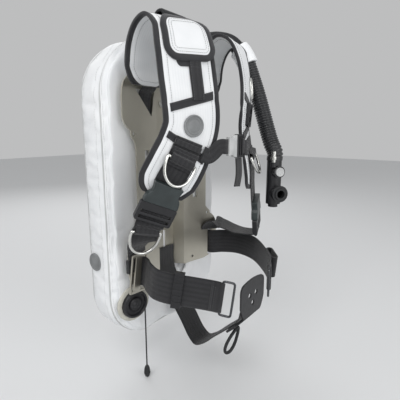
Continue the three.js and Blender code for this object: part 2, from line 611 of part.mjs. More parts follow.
const lowerStrap = {};
for (const side of [-1, 1]) {
  const name = side < 0 ? 'right' : 'left';
  const end = pads[name][strapEnd[name]];
  const lift = pad.thick / 2 + strapGap + buckle.thick / 2;
  const along = buckle.high + GAP;
  add(`quick_release_female_${name}`, atStation(buckleFemale(), end, lift, along), buckleGreen);
  add(`quick_release_male_${name}`, atStation(buckleMale(), end, lift, along), buckleGreen);
  const tail = end.centre.clone().addScaledVector(end.out, lift)
    .addScaledVector(end.tangent, along + buckle.low + 2 * GAP);
  const turn = name === 'right' ? -34 : -24;
  const next = tail.clone().addScaledVector(end.tangent, 8);
  const rows = [[tail.x * -side, tail.y, tail.z, turn, webbing.width],
    [next.x * -side, next.y, next.z, turn, webbing.width],
    ...[...lowerRows[name], ...lowerEnd].map((row) => [...row, webbing.width])];
  lowerStrap[name] = route(rows, side, 20);
  add(`lower_webbing_${name}`, ribbon(lowerStrap[name], webbing.thick), blackWebbing);
  add(`dring_upper_${name}`, atStation(dRing(ring.width, ring.depth).rotateX(ring.tilt), pads[name][32],
    onPad + webbing.thick / 2 + strapGap + ring.wire), brightSteel);
}
add('dring_lower_right', atStation(dRing(ring.width, ring.depth).rotateX(ring.lowerTilt), lowerStrap.right[5],
  webbing.thick / 2 + strapGap + ring.wire), brightSteel);
add('pad_badge_right', atStation(badge(17.5, 3).rotateX(Math.PI / 2), pads.right[27],
  pad.thick / 2 + strapGap), badgeRubber);

// hose keeper flap wrapped over the right pad above the chest
add('hose_flap_right', ribbon(pads.right.slice(14, 20), 4, pad.thick / 2 + strapGap + 2, pad.width + 2),
  padFabric);
add('strap_slide_left', atStation(slide(34, 42, 6, [[-11, 11, 3, 12], [-11, 11, -12, -3]]), pads.left[25],
  pad.thick / 2 + strapGap + 3), blackPlastic);

// ---------------------------------------------------------------- sternum strap
const upright = [0, 0, 1];
const sternumSides = {
  right: { sign: -1, reach: buckle.high },
  left: { sign: 1, reach: buckle.low + GAP / sternum.scale },
};
for (const [name, { sign, reach }] of Object.entries(sternumSides)) {
  const station = pads[name][10 * perRow];
  const lift = pad.thick / 2 + strapGap + sternum.thick / 2 + 1.2;
  const onFront = (inward) => station.centre.clone().addScaledVector(station.across, inward)
    .addScaledVector(station.out, lift);
  const upPad = station.tangent.clone().negate().toArray();
  const endX = sternum.x + sign * (reach * sternum.scale + GAP);
  const rows = [[...onFront(30).toArray(), upPad], [...onFront(44).toArray(), upPad],
    [sign * 36, sternum.y + 5, sternum.z, upright], [endX + sign * 6, sternum.y, sternum.z, upright],
    [endX, sternum.y, sternum.z, upright]];
  add(`sternum_webbing_${name}`, ribbon(route(rows.map((row) => [...row, sternum.width]), -1, 12),
    sternum.thick), blackWebbing);
}
const onSternum = (geometry) =>
  geometry.applyMatrix4(stand(v3(sternum.x, sternum.y, sternum.z), v3(1, 0, 0), v3(0, -1, 0)));
add('sternum_buckle_female', onSternum(buckleFemale(sternum.scale)), greyPlastic);
add('sternum_buckle_male', onSternum(buckleMale(sternum.scale)), blackPlastic);
// loose end of the left half's webbing, hanging from under the buckle
const tailTop = sternum.z - ((buckle.width + 4) * sternum.scale) / 2 - 2 * GAP;
add('sternum_tail', ribbon(route([[13, sternum.y, tailTop], [13, sternum.y - 1, tailTop - 12],
  [12, sternum.y - 2, tailTop - 30], [10, sternum.y, tailTop - sternum.tail]]
  .map((row) => [...row, 0, sternum.width - 5]), -1, 6), sternum.thick), blackWebbing);

// ---------------------------------------------------------------- waist belt
const leaning = [0.17, 0.03, 0.985];
const halfLeaning = [0.085, 0.015, 0.99];
const slotFace = plateFront(slot.waistX); // plate's front face where the belts come through it
const beltRows = {
  right: [[-113, slotFace + 8.138, -168, upright], [-113, slotFace + 2.638, -168, upright],
    [-107.6, slotFace - 2.662, -168.5, halfLeaning], [-103.6, slotFace - 7.862, -169, leaning],
    [-104, -57, -170, leaning], [-110, -72, -174, leaning],
    [-114, -92, -179, leaning],
    [-108, -112, -183, leaning], [-97, -130, -186, leaning], [-80, -156, -190, leaning],
    [-64, -184, -194, leaning], [-60.5, -193, -195, leaning]],
  left: [[-114.7, -34, -168, upright], [-114.7, -47, -168, upright], [-134, -66, -168, upright],
    [-151, -98, -169, upright], [-149, -140, -174, upright], [-128, -178, -184, upright],
    [-98, -208, -193, upright], [-74, -219, -197, upright]],
};
const belts = {};
for (const side of [-1, 1]) {
  const name = side < 0 ? 'right' : 'left';
  const rows = beltRows[name].map((row) => [...row, belt.width]);
  belts[name] = route(rows, side, (rows.length - 1) * perRow);
  add(`waist_belt_${name}`, ribbon(belts[name], belt.thick), blackWebbing);
}
// steel keeper slide standing on the plate's right flat, with the belt coming out through it
const flatRun = v3(1, plate.lean, 0).normalize();
const keeperOut = v3(plate.lean, -1, 0).normalize();
const keeperUp = v3(0, 0, -1).addScaledVector(flatRun, -0.17);
const keeperMatrix = stand(v3(keeper.x, plateFront(keeper.x) - keeper.lift, keeper.z), keeperUp, keeperOut);
add('waist_slide_right', slide(keeper.width, keeper.height, keeper.thick,
  [[-19, -12, -31, 31], [5.6, 18, -32, 32]]).applyMatrix4(keeperMatrix), taupeMetal);

// toothed adjuster closed round the right belt
function adjuster() {
  const ringWidth = 17;
  const wall = 3.2;
  const inner = [belt.thick / 2 + 0.7, belt.width / 2 + 1.2];
  const [t, h] = [inner[0] + wall, inner[1] + wall];
  const body = cut(box(-ringWidth / 2, ringWidth / 2, -h, h, -t, t),
    box(-ringWidth, ringWidth, -inner[1], inner[1], -inner[0], inner[0]));
  const teeth = [-22, -11, 0, 11, 22].map((y) =>
    box(-ringWidth / 2, ringWidth / 2, y - 2, y + 2, t - 1, t + 2));
  return join(body, ...teeth);
}
const beltPlace = (geometry, station, lift, along = 0) => {
  const origin = station.centre.clone().addScaledVector(station.out, lift)
    .addScaledVector(station.tangent, along);
  const across = station.out.clone().cross(station.tangent);
  return geometry.applyMatrix4(
    new THREE.Matrix4().makeBasis(station.tangent, across, station.out).setPosition(origin));
};
add('belt_adjuster', beltPlace(adjuster(), belts.right[24], 0), blackPlastic);

// rectangular wire frames that carry the belt ends
function wireFrame(width, height, bar) {
  const [w, h, r] = [width / 2 - bar, height / 2 - bar, 4];
  const outline = [];
  const corners = [[w - r, h - r, 0], [-w + r, h - r, 1], [-w + r, -h + r, 2], [w - r, -h + r, 3]];
  for (const [cx, cy, from] of corners) {
    for (let i = 0; i <= 3; i += 1) {
      const angle = (from + i / 3) * Math.PI / 2;
      outline.push(v3(cx + r * Math.cos(angle), cy + r * Math.sin(angle), 0));
    }
  }
  return wireLoop(outline, bar, 6);
}
for (const name of ['right', 'left']) {
  const end = belts[name][belts[name].length - 1];
  add(`waist_frame_${name}`, beltPlace(wireFrame(frame.width, frame.height, frame.bar), end, 0,
    frame.width / 2 + GAP), brightSteel);
}

// ---------------------------------------------------------------- centre plate and crotch strap
function centrePlate() {
  const { width, height, thick } = centre;
  const shape = new THREE.Shape();
  const [w, h] = [width / 2, height / 2];
  shape.moveTo(-w * 0.62, -h);
  shape.lineTo(w * 0.62, -h);
  shape.quadraticCurveTo(w * 0.8, -h, w, -h * 0.3);
  shape.lineTo(w, h * 0.5);
  shape.quadraticCurveTo(w, h * 0.86, w * 0.7, h * 0.92);
  shape.quadraticCurveTo(0, h * 1.1, -w * 0.7, h * 0.92);
  shape.quadraticCurveTo(-w, h * 0.86, -w, h * 0.5);
  shape.lineTo(-w, -h * 0.3);
  shape.quadraticCurveTo(-w * 0.8, -h, -w * 0.62, -h);
  for (const [x, y] of [[-11, 5], [11, 5], [0, -12]]) {
    const hole = new THREE.Path();
    hole.absarc(x, y, 5, 0, Math.PI * 2);
    shape.holes.push(hole);
  }
  return extrude(shape, thick, 5).rotateX(Math.PI / 2).translate(centre.x, centre.y + thick / 2, centre.z);
}
add('center_plate', centrePlate(), blackPlastic);
// the crotch strap starts flat on the front of the channel floor, clear of it by its own ease
const crotchEase = 0.9;
const crotchY = floorFront - GAP - webbing.thick / 2 - crotchEase;
const crotchRows = [[0, crotchY, -158, 0], [0, crotchY, -198, 0], [0, -20, -226, 0], [0, -45, -262, 0],
  [0, -74, -300, 0], [-1, -94, -326, 0], [-4, -112, -334, 0], [-8, -134, -322, 0],
  [-10, -166, -292, 0], [-12, -196, -264, 0],
  [-12, -216, -243, 0], [-12, -221.2, -225, 0]];
const crotch = route(crotchRows.map((row) => [...row, webbing.width]), -1, 33);
add('crotch_strap', ribbon(crotch, webbing.thick), blackWebbing);
const crotchStation = crotch[28];
const crotchOut = crotchStation.out.clone().negate();
const frameLift = webbing.thick / 2 + GAP + 2;
const frameAt = crotchStation.centre.clone().addScaledVector(crotchOut, frameLift);
const crotchMatrix = stand(frameAt, crotchStation.tangent.clone().negate(), crotchOut);
add('crotch_frame', slide(66, 24, 4, [[-28, 28, 2, 7], [-28, 28, -7, -2]]).applyMatrix4(crotchMatrix),
  blackPlastic);

// open teardrop loop hung on the crotch strap's frame
const loopTop = v3(0, -9, 2 + loop.wire + GAP).applyMatrix4(crotchMatrix);
const loopDown = v3(-0.42, 0.2, -0.88).normalize();
function crotchLoop() {
  const outline = [];
  for (let i = 0; i < 18; i += 1) {
    const angle = (i / 18) * Math.PI * 2;
    const widen = (1 - Math.cos(angle)) / 2;
    outline.push(v3((loop.width / 2 - loop.wire) * Math.sin(angle) * (0.35 + 0.65 * widen),
      -(loop.length - 2 * loop.wire) * widen, 0));
  }
  return wireLoop(outline, loop.wire, 6);
}
add('crotch_loop', crotchLoop().applyMatrix4(stand(loopTop, loopDown, v3(-0.3, -0.95, 0))), blackRubber);

// end of the left waist strap folded into a flat roll on the belt
function foldedTail() {
  const shape = roundedRect(42, 15, 7);
  shape.holes.push(new THREE.Path(roundedRect(42 - 2 * belt.thick, 15 - 2 * belt.thick, 4).getPoints(3)));
  return extrude(shape, 48, 3).translate(0, 0, -24).rotateX(Math.PI / 2);
}
add('belt_tail_left', beltPlace(foldedTail(), belts.left[16], belt.thick / 2 + 15 / 2 + 2 * GAP),
  blackWebbing);

// webbing tab folded round the plate's lower right edge
function hipTab() {
  const t = 2;
  const [inner, outer] = [119, plate.halfWidth + GAP];
  const back = plate.thick * Math.hypot(1, plate.lean) + GAP;
  const corner = (x, off) => new THREE.Vector2(-x, plateFront(x) + off);
  const shape = new THREE.Shape([corner(inner, -GAP), corner(outer, -GAP), corner(outer, back),
    corner(inner, back), corner(inner, back + t), corner(outer + t, back + t), corner(outer + t, -GAP - t),
    corner(inner, -GAP - t)]);
  return extrude(shape, 25, 2).translate(0, 0, -166);
}
add('hip_tab_right', hipTab(), blackWebbing);

// ---------------------------------------------------------------- carry handle and chest ring
function gripTube() {
  const { radius: r, bore, halfLength: h } = grip;
  const profile = [[bore, -h], [r - 2, -h], [r, -h + 3], [r, h - 3], [r - 2, h], [bore, h], [bore, -h]];
  return lathe(profile, 18).rotateZ(Math.PI / 2).translate(0, grip.y, grip.z);
}
add('handle_grip', gripTube(), blackRubber);
const handleFoot = plate.top + 2 * GAP;
const handleHalf = [
  [-grip.footX, grip.footY, handleFoot, [1, 0, 0]],
  [-grip.footX, grip.footY - 0.6, handleFoot + 7, [1, 0, 0]],
  [-44.5, -34.5, 206, [0.75, -0.66, 0]], [-42, -37.5, 228, [0.1, -1, 0]],
  [-grip.halfLength - 9, grip.y, 262, [0, -1, 0]], [-grip.halfLength - 8.5, grip.y, 276, [0, -1, 0]],
  [-grip.halfLength - 5, grip.y, 284, [0, -1, 0]], [-grip.halfLength + 3, grip.y, grip.z, [0, -1, 0]],
];
const handleRows = [...handleHalf, [0, grip.y, grip.z, [0, -1, 0]],
  ...[...handleHalf].reverse().map(([x, y, z, [ax, ay, az]]) => [-x, y, z, [-ax, ay, az]])];
add('handle_strap', ribbon(route(handleRows.map((row) => [...row, grip.strap]), -1, 48), webbing.thick),
  blackWebbing);

// oval accessory ring laid on the left pad
function ovalRing(width, depth, wire) {
  const outline = Array.from({ length: 14 }, (_, i) => {
    const angle = (i / 14) * Math.PI * 2;
    return v3((width / 2 - wire) * Math.cos(angle), (depth / 2 - wire) * Math.sin(angle), 0);
  });
  return wireLoop(outline, wire, 6);
}
add('chest_ring_left', atStation(ovalRing(24, 46, 2.2).translate(25, 0, 0), pads.left[21],
  pad.thick / 2 + strapGap + 2.2), brightSteel);

export default group;
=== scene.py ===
"""Looks of a white and black backplate-and-wing buoyancy vest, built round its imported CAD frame."""
from math import cos, exp, hypot, pi, radians, sin, sqrt

import bmesh
import bpy
from mathutils import Matrix, Vector


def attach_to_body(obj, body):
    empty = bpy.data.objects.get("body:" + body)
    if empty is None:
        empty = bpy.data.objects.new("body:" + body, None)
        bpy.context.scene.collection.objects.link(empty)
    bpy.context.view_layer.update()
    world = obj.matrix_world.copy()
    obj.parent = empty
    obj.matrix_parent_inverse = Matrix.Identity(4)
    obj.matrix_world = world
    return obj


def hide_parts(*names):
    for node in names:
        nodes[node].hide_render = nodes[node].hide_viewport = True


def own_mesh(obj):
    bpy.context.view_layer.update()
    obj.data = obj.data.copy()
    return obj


MM = 0.001
ROOT = "harness"
GAP = 0.3  # clearance between pieces that touch

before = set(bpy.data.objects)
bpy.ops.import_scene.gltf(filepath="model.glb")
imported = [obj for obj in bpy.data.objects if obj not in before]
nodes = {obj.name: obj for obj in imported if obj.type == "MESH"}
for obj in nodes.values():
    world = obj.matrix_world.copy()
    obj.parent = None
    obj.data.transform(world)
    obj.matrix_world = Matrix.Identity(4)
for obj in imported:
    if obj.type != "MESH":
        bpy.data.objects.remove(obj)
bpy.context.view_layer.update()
scene = bpy.context.scene


# ---------------------------------------------------------------- camera and light; the floor is laid at the end
def add_light(name, place, aim, size, power):
    lamp = bpy.data.lights.new(name, "AREA")
    lamp.size = size
    lamp.energy = power
    holder = bpy.data.objects.new(name, lamp)
    scene.collection.objects.link(holder)
    holder.location = place
    holder.rotation_euler = (Vector(aim) - Vector(place)).to_track_quat("-Z", "Y").to_euler()


lens = bpy.data.cameras.new("camera")
lens.lens = 31.30
lens.sensor_width = 36
camera = bpy.data.objects.new("camera", lens)
scene.collection.objects.link(camera)
camera.location = (-0.5183, -0.5097, 0.0877)
camera.rotation_euler = (radians(78.7), 0, radians(-51.9))
scene.camera = camera
scene.view_settings.view_transform = "Standard"

MIDDLE = (0, -0.06, -0.03)
add_light("key_light", (-1.5, -0.5, 1.5), MIDDLE, 1.3, 19)
add_light("front_light", (-0.2, -1.9, 0.5), MIDDLE, 1.4, 12)
add_light("rear_light", (0.9, 1.5, 1.2), MIDDLE, 1.6, 13)

world = bpy.data.worlds.new("studio")
world.use_nodes = True
world.node_tree.nodes["Background"].inputs["Color"].default_value = (0.88, 0.885, 0.89, 1)
world.node_tree.nodes["Background"].inputs["Strength"].default_value = 0.58
scene.world = world


# ---------------------------------------------------------------- materials
def linear(r, g, b):
    """Scene colour of an sRGB colour given as 0 to 255."""
    channel = [c / 255 for c in (r, g, b)]
    return tuple(c / 12.92 if c < 0.04045 else ((c + 0.055) / 1.055) ** 2.4 for c in channel) + (1,)


class Finish:
    """A material's node tree, built up piece by piece."""

    def __init__(self, name, colour, roughness, metallic=0.0, specular=0.5, sheen=0.0, coat=0.0):
        self.material = bpy.data.materials.new(name)
        self.material.use_nodes = True
        self.tree = self.material.node_tree
        self.shader = self.tree.nodes["Principled BSDF"]
        self.shader.inputs["Base Color"].default_value = linear(*colour)
        self.shader.inputs["Roughness"].default_value = roughness
        self.shader.inputs["Metallic"].default_value = metallic
        self.shader.inputs["Specular IOR Level"].default_value = specular
        self.shader.inputs["Sheen Weight"].default_value = sheen
        self.shader.inputs["Coat Weight"].default_value = coat
        self.place = self.node("ShaderNodeTexCoord").outputs["Object"]

    def node(self, kind, **settings):
        made = self.tree.nodes.new(kind)
        for key, value in settings.items():
            setattr(made, key, value)
        return made

    def link(self, source, target):
        self.tree.links.new(source, target)

    def math(self, operation, a, b=None):
        made = self.node("ShaderNodeMath", operation=operation)
        for socket, value in zip(made.inputs, (a, b)):
            if isinstance(value, (int, float)):
                socket.default_value = value
            elif value is not None:
                self.link(value, socket)
        return made.outputs[0]

    def use_strap_cloth(self):
        """Reads the cloth's own length and width, which sewn pieces carry in metres."""
        self.place = self.node("ShaderNodeUVMap", uv_map="UVMap").outputs["UV"]

    def noise(self, scale, detail=3.0, stretch=(1, 1, 1)):
        mapping = self.node("ShaderNodeMapping")
        mapping.inputs["Scale"].default_value = stretch
        self.link(self.place, mapping.inputs["Vector"])
        made = self.node("ShaderNodeTexNoise")
        made.inputs["Scale"].default_value = scale
        made.inputs["Detail"].default_value = detail
        self.link(mapping.outputs["Vector"], made.inputs["Vector"])
        return made.outputs["Fac"]

    def bands(self, axis, pitch):
        """Waves of that pitch in metres along one axis, from 0 to 1."""
        made = self.node("ShaderNodeTexWave", wave_type="BANDS", bands_direction=axis)
        made.inputs["Scale"].default_value = 2 * pi / (20 * pitch)
        self.link(self.place, made.inputs["Vector"])
        return made.outputs["Fac"]

    def vary_colour(self, factor, darker, lighter):
        """Colour that runs between two sRGB colours as factor goes from 0.3 to 0.7."""
        ramp = self.node("ShaderNodeValToRGB")
        ramp.color_ramp.elements[0].position = 0.3
        ramp.color_ramp.elements[0].color = linear(*darker)
        ramp.color_ramp.elements[1].position = 0.7
        ramp.color_ramp.elements[1].color = linear(*lighter)
        self.link(factor, ramp.inputs["Fac"])
        self.link(ramp.outputs["Color"], self.shader.inputs["Base Color"])

    def vary_roughness(self, factor, low, high):
        span = self.node("ShaderNodeMapRange")
        span.inputs["To Min"].default_value = low
        span.inputs["To Max"].default_value = high
        self.link(factor, span.inputs["Value"])
        self.link(span.outputs["Result"], self.shader.inputs["Roughness"])

    def bump(self, *layers):
        """Each layer is a height from 0 to 1 with its depth in millimetres."""
        normal = None
        for height, depth in layers:
            made = self.node("ShaderNodeBump")
            made.inputs["Strength"].default_value = 1.0
            made.inputs["Distance"].default_value = depth * MM
            self.link(height, made.inputs["Height"])
            if normal is not None:
                self.link(normal, made.inputs["Normal"])
            normal = made.outputs["Normal"]
        self.link(normal, self.shader.inputs["Normal"])
        return self.material


def cloth_finish(name, colour, deep, roughness, pitch, depth, sheen, use_uv=False, cross=1.0):
    """Plain woven cloth: warp and weft of that pitch in mm, with soft uneven colour."""
    made = Finish(name, colour, roughness, sheen=sheen, specular=0.3)
    blotch = made.noise(22, 4)
    if use_uv:
        made.use_strap_cloth()
    weave = made.math("MULTIPLY", made.bands("X", pitch * MM), made.bands("Y", pitch * cross * MM))
    if not use_uv:
        weave = made.math("ADD", weave, made.math("MULTIPLY", made.bands("Z", pitch * MM), 0.5))
    mixed = made.math("ADD", made.math("MULTIPLY", blotch, 0.75), made.math("MULTIPLY", weave, 0.25))
    made.vary_colour(mixed, deep, colour)
    fuzz = made.noise(900, 2)
    return made.bump((weave, depth), (fuzz, depth * 0.5))


def webbing_finish(name, colour, deep):
    """Heavy nylon webbing: ribs across it and fine lengthways warp lines, with a dull sheen."""
    made = Finish(name, colour, 0.62, sheen=0.25, specular=0.35)
    made.use_strap_cloth()
    ribs = made.bands("Y", 1.5 * MM)
    warp = made.bands("X", 1.1 * MM)
    woven = made.math("MULTIPLY", made.math("ADD", ribs, 0.4), made.math("ADD", warp, 0.4))
    broad = made.bands("X", 8.3 * MM)
    tone = made.math("ADD", made.math("MULTIPLY", woven, 0.3), made.math("MULTIPLY", broad, 0.25))
    tone = made.math("ADD", tone, made.math("MULTIPLY", made.noise(60, 3), 0.35))
    made.vary_colour(tone, deep, colour)
    return made.bump((woven, 0.28), (broad, 0.12))


def moulded_finish(name, colour, roughness, grain, specular=0.5, wear=None):
    """Moulded plastic or rubber: a fine eroded grain, uneven gloss and a slightly uneven colour."""
    made = Finish(name, colour, roughness, specular=specular)
    cloud = made.noise(45, 4)
    darker = tuple(c * 0.86 for c in colour)
    made.vary_colour(cloud, darker, wear or colour)
    made.vary_roughness(made.noise(160, 3), roughness - 0.08, roughness + 0.1)
    return made.bump((made.noise(1500, 3), grain), (made.noise(120, 2), grain * 0.8))


def steel_finish(name, colour, deep, roughness, brushed):
    """Steel: blasted or polished, with a faint brushing along its height and soft handling marks."""
    made = Finish(name, colour, roughness, metallic=1.0)
    made.vary_colour(made.noise(7, 5), deep, colour)
    lines = made.noise(240, 3, stretch=(1, 1, 0.03))
    made.vary_roughness(made.noise(30, 5), roughness - 0.07, roughness + 0.09)
    return made.bump((lines, brushed), (made.noise(1400, 2), brushed * 0.7))


wing_cloth = cloth_finish("wing_cloth", (246, 247, 248), (236, 238, 240), 0.52, 1.1, 0.05, 0.15)
pad_cloth = cloth_finish("pad_cloth", (243, 244, 245), (230, 232, 234), 0.7, 1.3, 0.09, 0.2, use_uv=True)
binding_cloth = cloth_finish("binding_cloth", (52, 52, 55), (34, 34, 37), 0.75, 1.6, 0.2, 0.3, use_uv=True,
                             cross=0.6)
black_webbing = webbing_finish("black_webbing", (44, 44, 47), (20, 20, 23))
# light grey thread of the stitches; on the wing's seam piping this grey is painted shade of the seam line
thread_and_seam_shade = cloth_finish("thread_and_seam_shade", (206, 207, 206), (186, 188, 188), 0.7, 0.5, 0.05, 0.3)
stitch_grey = cloth_finish("stitch_grey", (96, 97, 99), (78, 79, 82), 0.7, 0.5, 0.05, 0.3)
plate_steel = steel_finish("plate_steel", (204, 200, 188), (186, 182, 170), 0.38, 0.02)
bright_steel = steel_finish("bright_steel_look", (226, 226, 222), (204, 204, 200), 0.2, 0.01)
black_plastic = moulded_finish("black_moulding", (34, 34, 37), 0.42, 0.05)
buckle_plastic = moulded_finish("buckle_moulding", (46, 53, 54), 0.36, 0.05, wear=(54, 62, 63))
grey_plastic = moulded_finish("grey_moulding", (206, 207, 207), 0.4, 0.04)
cream_plastic = moulded_finish("cream_moulding", (206, 204, 193), 0.38, 0.04)
black_rubber = moulded_finish("black_rubber_look", (38, 39, 41), 0.55, 0.09, specular=0.4)
hose_rubber = moulded_finish("hose_rubber", (46, 47, 49), 0.28, 0.03, specular=0.6)
badge_rubber = moulded_finish("badge_rubber_look", (140, 142, 143), 0.6, 0.06, specular=0.4)
red_cloth = cloth_finish("red_cloth", (176, 26, 36), (140, 16, 26), 0.7, 0.9, 0.1, 0.3)
dark_steel = steel_finish("dark_steel_look", (96, 97, 100), (70, 71, 74), 0.2, 0.01)
floor_paint = Finish("floor_paint", (222, 223, 224), 0.85, specular=0.1).material


# ---------------------------------------------------------------- mesh helpers, all in millimetres
def mesh_object(name, points, faces, material, uvs=None, smooth=True):
    """uvs gives one (u, v) in mm for each corner of each face, in order."""
    mesh = bpy.data.meshes.new(name)
    mesh.from_pydata([tuple(Vector(p) * MM) for p in points], [], faces)
    if uvs:
        layer = mesh.uv_layers.new(name="UVMap")
        for corner, (u, v) in zip(layer.data, uvs):
            corner.uv = (u * MM, v * MM)
    mesh.polygons.foreach_set("use_smooth", [smooth] * len(mesh.polygons))
    mesh.materials.append(material)
    made = bpy.data.objects.new(name, mesh)
    scene.collection.objects.link(made)
    shell = bmesh.new()
    shell.from_mesh(mesh)
    bmesh.ops.recalc_face_normals(shell, faces=shell.faces)
    shell.to_mesh(mesh)
    shell.free()
    return made


def sweep(name, rings, material, closed=False):
    """Skin over rings of points, with flat ends; closed joins the last ring to the first instead."""
    count = len(rings[0])
    total = len(rings)
    middles = [sum(ring, Vector()) / count for ring in rings]
    along = [0.0]
    for i in range(1, total + 1):
        along.append(along[-1] + (middles[i % total] - middles[i - 1]).length)
    round_section = [0.0]
    for j in range(1, count + 1):
        round_section.append(round_section[-1] + (rings[0][j % count] - rings[0][j - 1]).length)
    points = [p for ring in rings for p in ring]
    faces = []
    uvs = []
    for i in range(total if closed else total - 1):
        for j in range(count):
            after = (i + 1) % total
            beside = (j + 1) % count
            faces.append((i * count + j, i * count + beside, after * count + beside, after * count + j))
            uvs += [(round_section[j], along[i]), (round_section[j + 1], along[i]),
                    (round_section[j + 1], along[i + 1]), (round_section[j], along[i + 1])]
    if not closed:
        for ring, where in ((0, 0.0), (total - 1, along[total - 1])):
            faces.append(tuple(ring * count + j for j in range(count)))
            uvs += [(round_section[j], where) for j in range(count)]
    return mesh_object(name, points, faces, material, uvs)


def merge(name, objects):
    """One object from several with one material."""
    shell = bmesh.new()
    for part in objects:
        shell.from_mesh(part.data)
    made = objects[0]
    shell.to_mesh(made.data)
    shell.free()
    for part in objects[1:]:
        bpy.data.objects.remove(part)
    made.name = name
    return made


def soften(thing, levels):
    modifier = thing.modifiers.new("smooth", "SUBSURF")
    modifier.levels = levels
    modifier.render_levels = levels
    return thing


def spline_point(points, t):
    """Point of a centripetal Catmull-Rom curve at share t of its length in rows."""
    at = t * (len(points) - 1)
    low = min(int(at), len(points) - 2)
    u = at - low
    p1, p2 = points[low], points[low + 1]
    p0 = points[low - 1] if low > 0 else p1 * 2 - p2
    p3 = points[low + 2] if low + 2 < len(points) else p2 * 2 - p1
    gaps = [max((b - a).length, 1e-6) ** 0.5 for a, b in ((p0, p1), (p1, p2), (p2, p3))]
    d0, d1, d2 = gaps
    m1 = ((p1 - p0) / d0 - (p2 - p0) / (d0 + d1) + (p2 - p1) / d1) * d1
    m2 = ((p2 - p1) / d1 - (p3 - p1) / (d1 + d2) + (p3 - p2) / d2) * d1
    return (p1 * (2 * u ** 3 - 3 * u ** 2 + 1) + p2 * (3 * u ** 2 - 2 * u ** 3)
            + m1 * (u ** 3 - 2 * u ** 2 + u) + m2 * (u ** 3 - u ** 2))


def spline_tangent(points, t):
    step = 1e-4
    return (spline_point(points, min(t + step, 1)) - spline_point(points, max(t - step, 0))).normalized()


class Station:
    """A place on a strap's route, with its direction, the way across it and the way out of it."""

    def __init__(self, centre, tangent, across, out, width):
        self.centre, self.tangent, self.across, self.out, self.width = centre, tangent, across, out, width


def route(rows, side, steps):
    """Rows are (x, y, z, across or its turn in degrees, width), given for the right side (side -1)."""
    points = [Vector(row[:3]) for row in rows]
    mirror = Matrix.Diagonal((-side, 1, 1))

    def across_of(row):
        if isinstance(row[3], (int, float)):
            turn = radians(row[3])
            return Vector((cos(turn), sin(turn), 0))
        return Vector(row[3])

    stations = []
    for i in range(steps + 1):
        at = i / steps * (len(rows) - 1)
        low = min(int(at), len(rows) - 2)
        mix = at - low
        tangent = spline_tangent(points, i / steps)
        across = across_of(rows[low]).lerp(across_of(rows[low + 1]), mix)
        across = (across - tangent * across.dot(tangent)).normalized()
        width = rows[low][4] + (rows[low + 1][4] - rows[low][4]) * mix
        stations.append(Station(mirror @ spline_point(points, i / steps), mirror @ tangent, mirror @ across,
                                mirror @ tangent.cross(across), width))
    return stations


def stand(origin, run, out):
    """Frame with local Y against run and local Z out, as the CAD places its buckles and rings."""
    y = -run.normalized()
    z = (out - y * out.dot(y)).normalized()
    x = y.cross(z)
    return Matrix((x, y, z)).transposed().to_4x4(), origin


def placed(stood, point):
    turn, origin = stood
    return (turn @ Vector(point)) + origin


def smooth_outline(points, per_row=5):
    """Closed outline refined on a Catmull-Rom curve."""
    n = len(points)
    looped = [Vector(points[i % n]) for i in range(-2, n + 3)]
    fine = []
    for i in range(n):
        for k in range(per_row):
            fine.append(spline_point(looped[i + 1:i + 5], (1 + k / per_row) / 3))
    return fine


def circle_angles(count):
    """Angles of that many even steps round a circle."""
    return [j / count * 2 * pi for j in range(count)]


def tube_rings(points, radius, sides):
    """Round rings along a line of points, without twist; radius is one number or one for each point."""
    rings = []
    normal = None
    for i, point in enumerate(points):
        along = (points[min(i + 1, len(points) - 1)] - points[max(i - 1, 0)]).normalized()
        if normal is None:
            normal = along.orthogonal().normalized()
        normal = (normal - along * normal.dot(along)).normalized()
        side = along.cross(normal)
        r = radius[i] if isinstance(radius, list) else radius
        rings.append([point + normal * cos(a) * r + side * sin(a) * r
                      for a in circle_angles(sides)])
    return rings


def closed_tube(points, normal, radius, sides):
    """Round rings along a closed line of points that lies nearly square to normal."""
    rings = []
    for i, point in enumerate(points):
        along = (points[(i + 1) % len(points)] - points[i - 1]).normalized()
        inward = normal.cross(along).normalized()
        upward = along.cross(inward)
        rings.append([point + inward * cos(a) * radius + upward * sin(a) * radius
                      for a in circle_angles(sides)])
    return rings


def lathe(name, profile, origin, axis, material, sides=48):
    """Turned shape: profile is (radius, height) pairs from the bottom's middle to the top's middle."""
    axis = Vector(axis).normalized()
    x = axis.orthogonal().normalized()
    y = axis.cross(x)
    rings = [[Vector(origin) + axis * h + (x * cos(a) + y * sin(a)) * max(r, 0.01)
              for a in circle_angles(sides)] for r, h in profile]
    return sweep(name, rings, material)


def finish_edges(thing, angle=35):
    """Shades a turned or moulded piece smooth, apart from its sharp edges."""
    thing.data.set_sharp_from_angle(angle=radians(angle))
    return thing


def attach(thing, body, slot, stands_for=None):
    """Lets a piece ride on a body and stand for a CAD node; slot is not used."""
    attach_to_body(thing, body)
    if stands_for:
        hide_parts(stands_for)
    return thing


def on_root(thing, slot, stands_for=None):
    return attach(thing, ROOT, slot, stands_for)


# ---------------------------------------------------------------- free cords
DUMP = {"x": -113, "y": -28.7, "z": -236, "turn": 8, "body": 26.5, "height": 12}
dump_turn = radians(DUMP["turn"])
dump_across = Vector((cos(dump_turn), -sin(dump_turn), 0))
dump_out = Vector((-sin(dump_turn), -cos(dump_turn), 0))
dump_at = Vector((DUMP["x"], DUMP["y"], DUMP["z"]))
CORD = {"diameter": 3, "top": DUMP["z"] - 2, "bottom": -378, "across": 22, "out": 7.5, "steps": 140,
        "twist": 0.32}
cord_line = dump_at + dump_across * CORD["across"] + dump_out * CORD["out"]
KNOB = {"radius": 6.5, "length": 24}


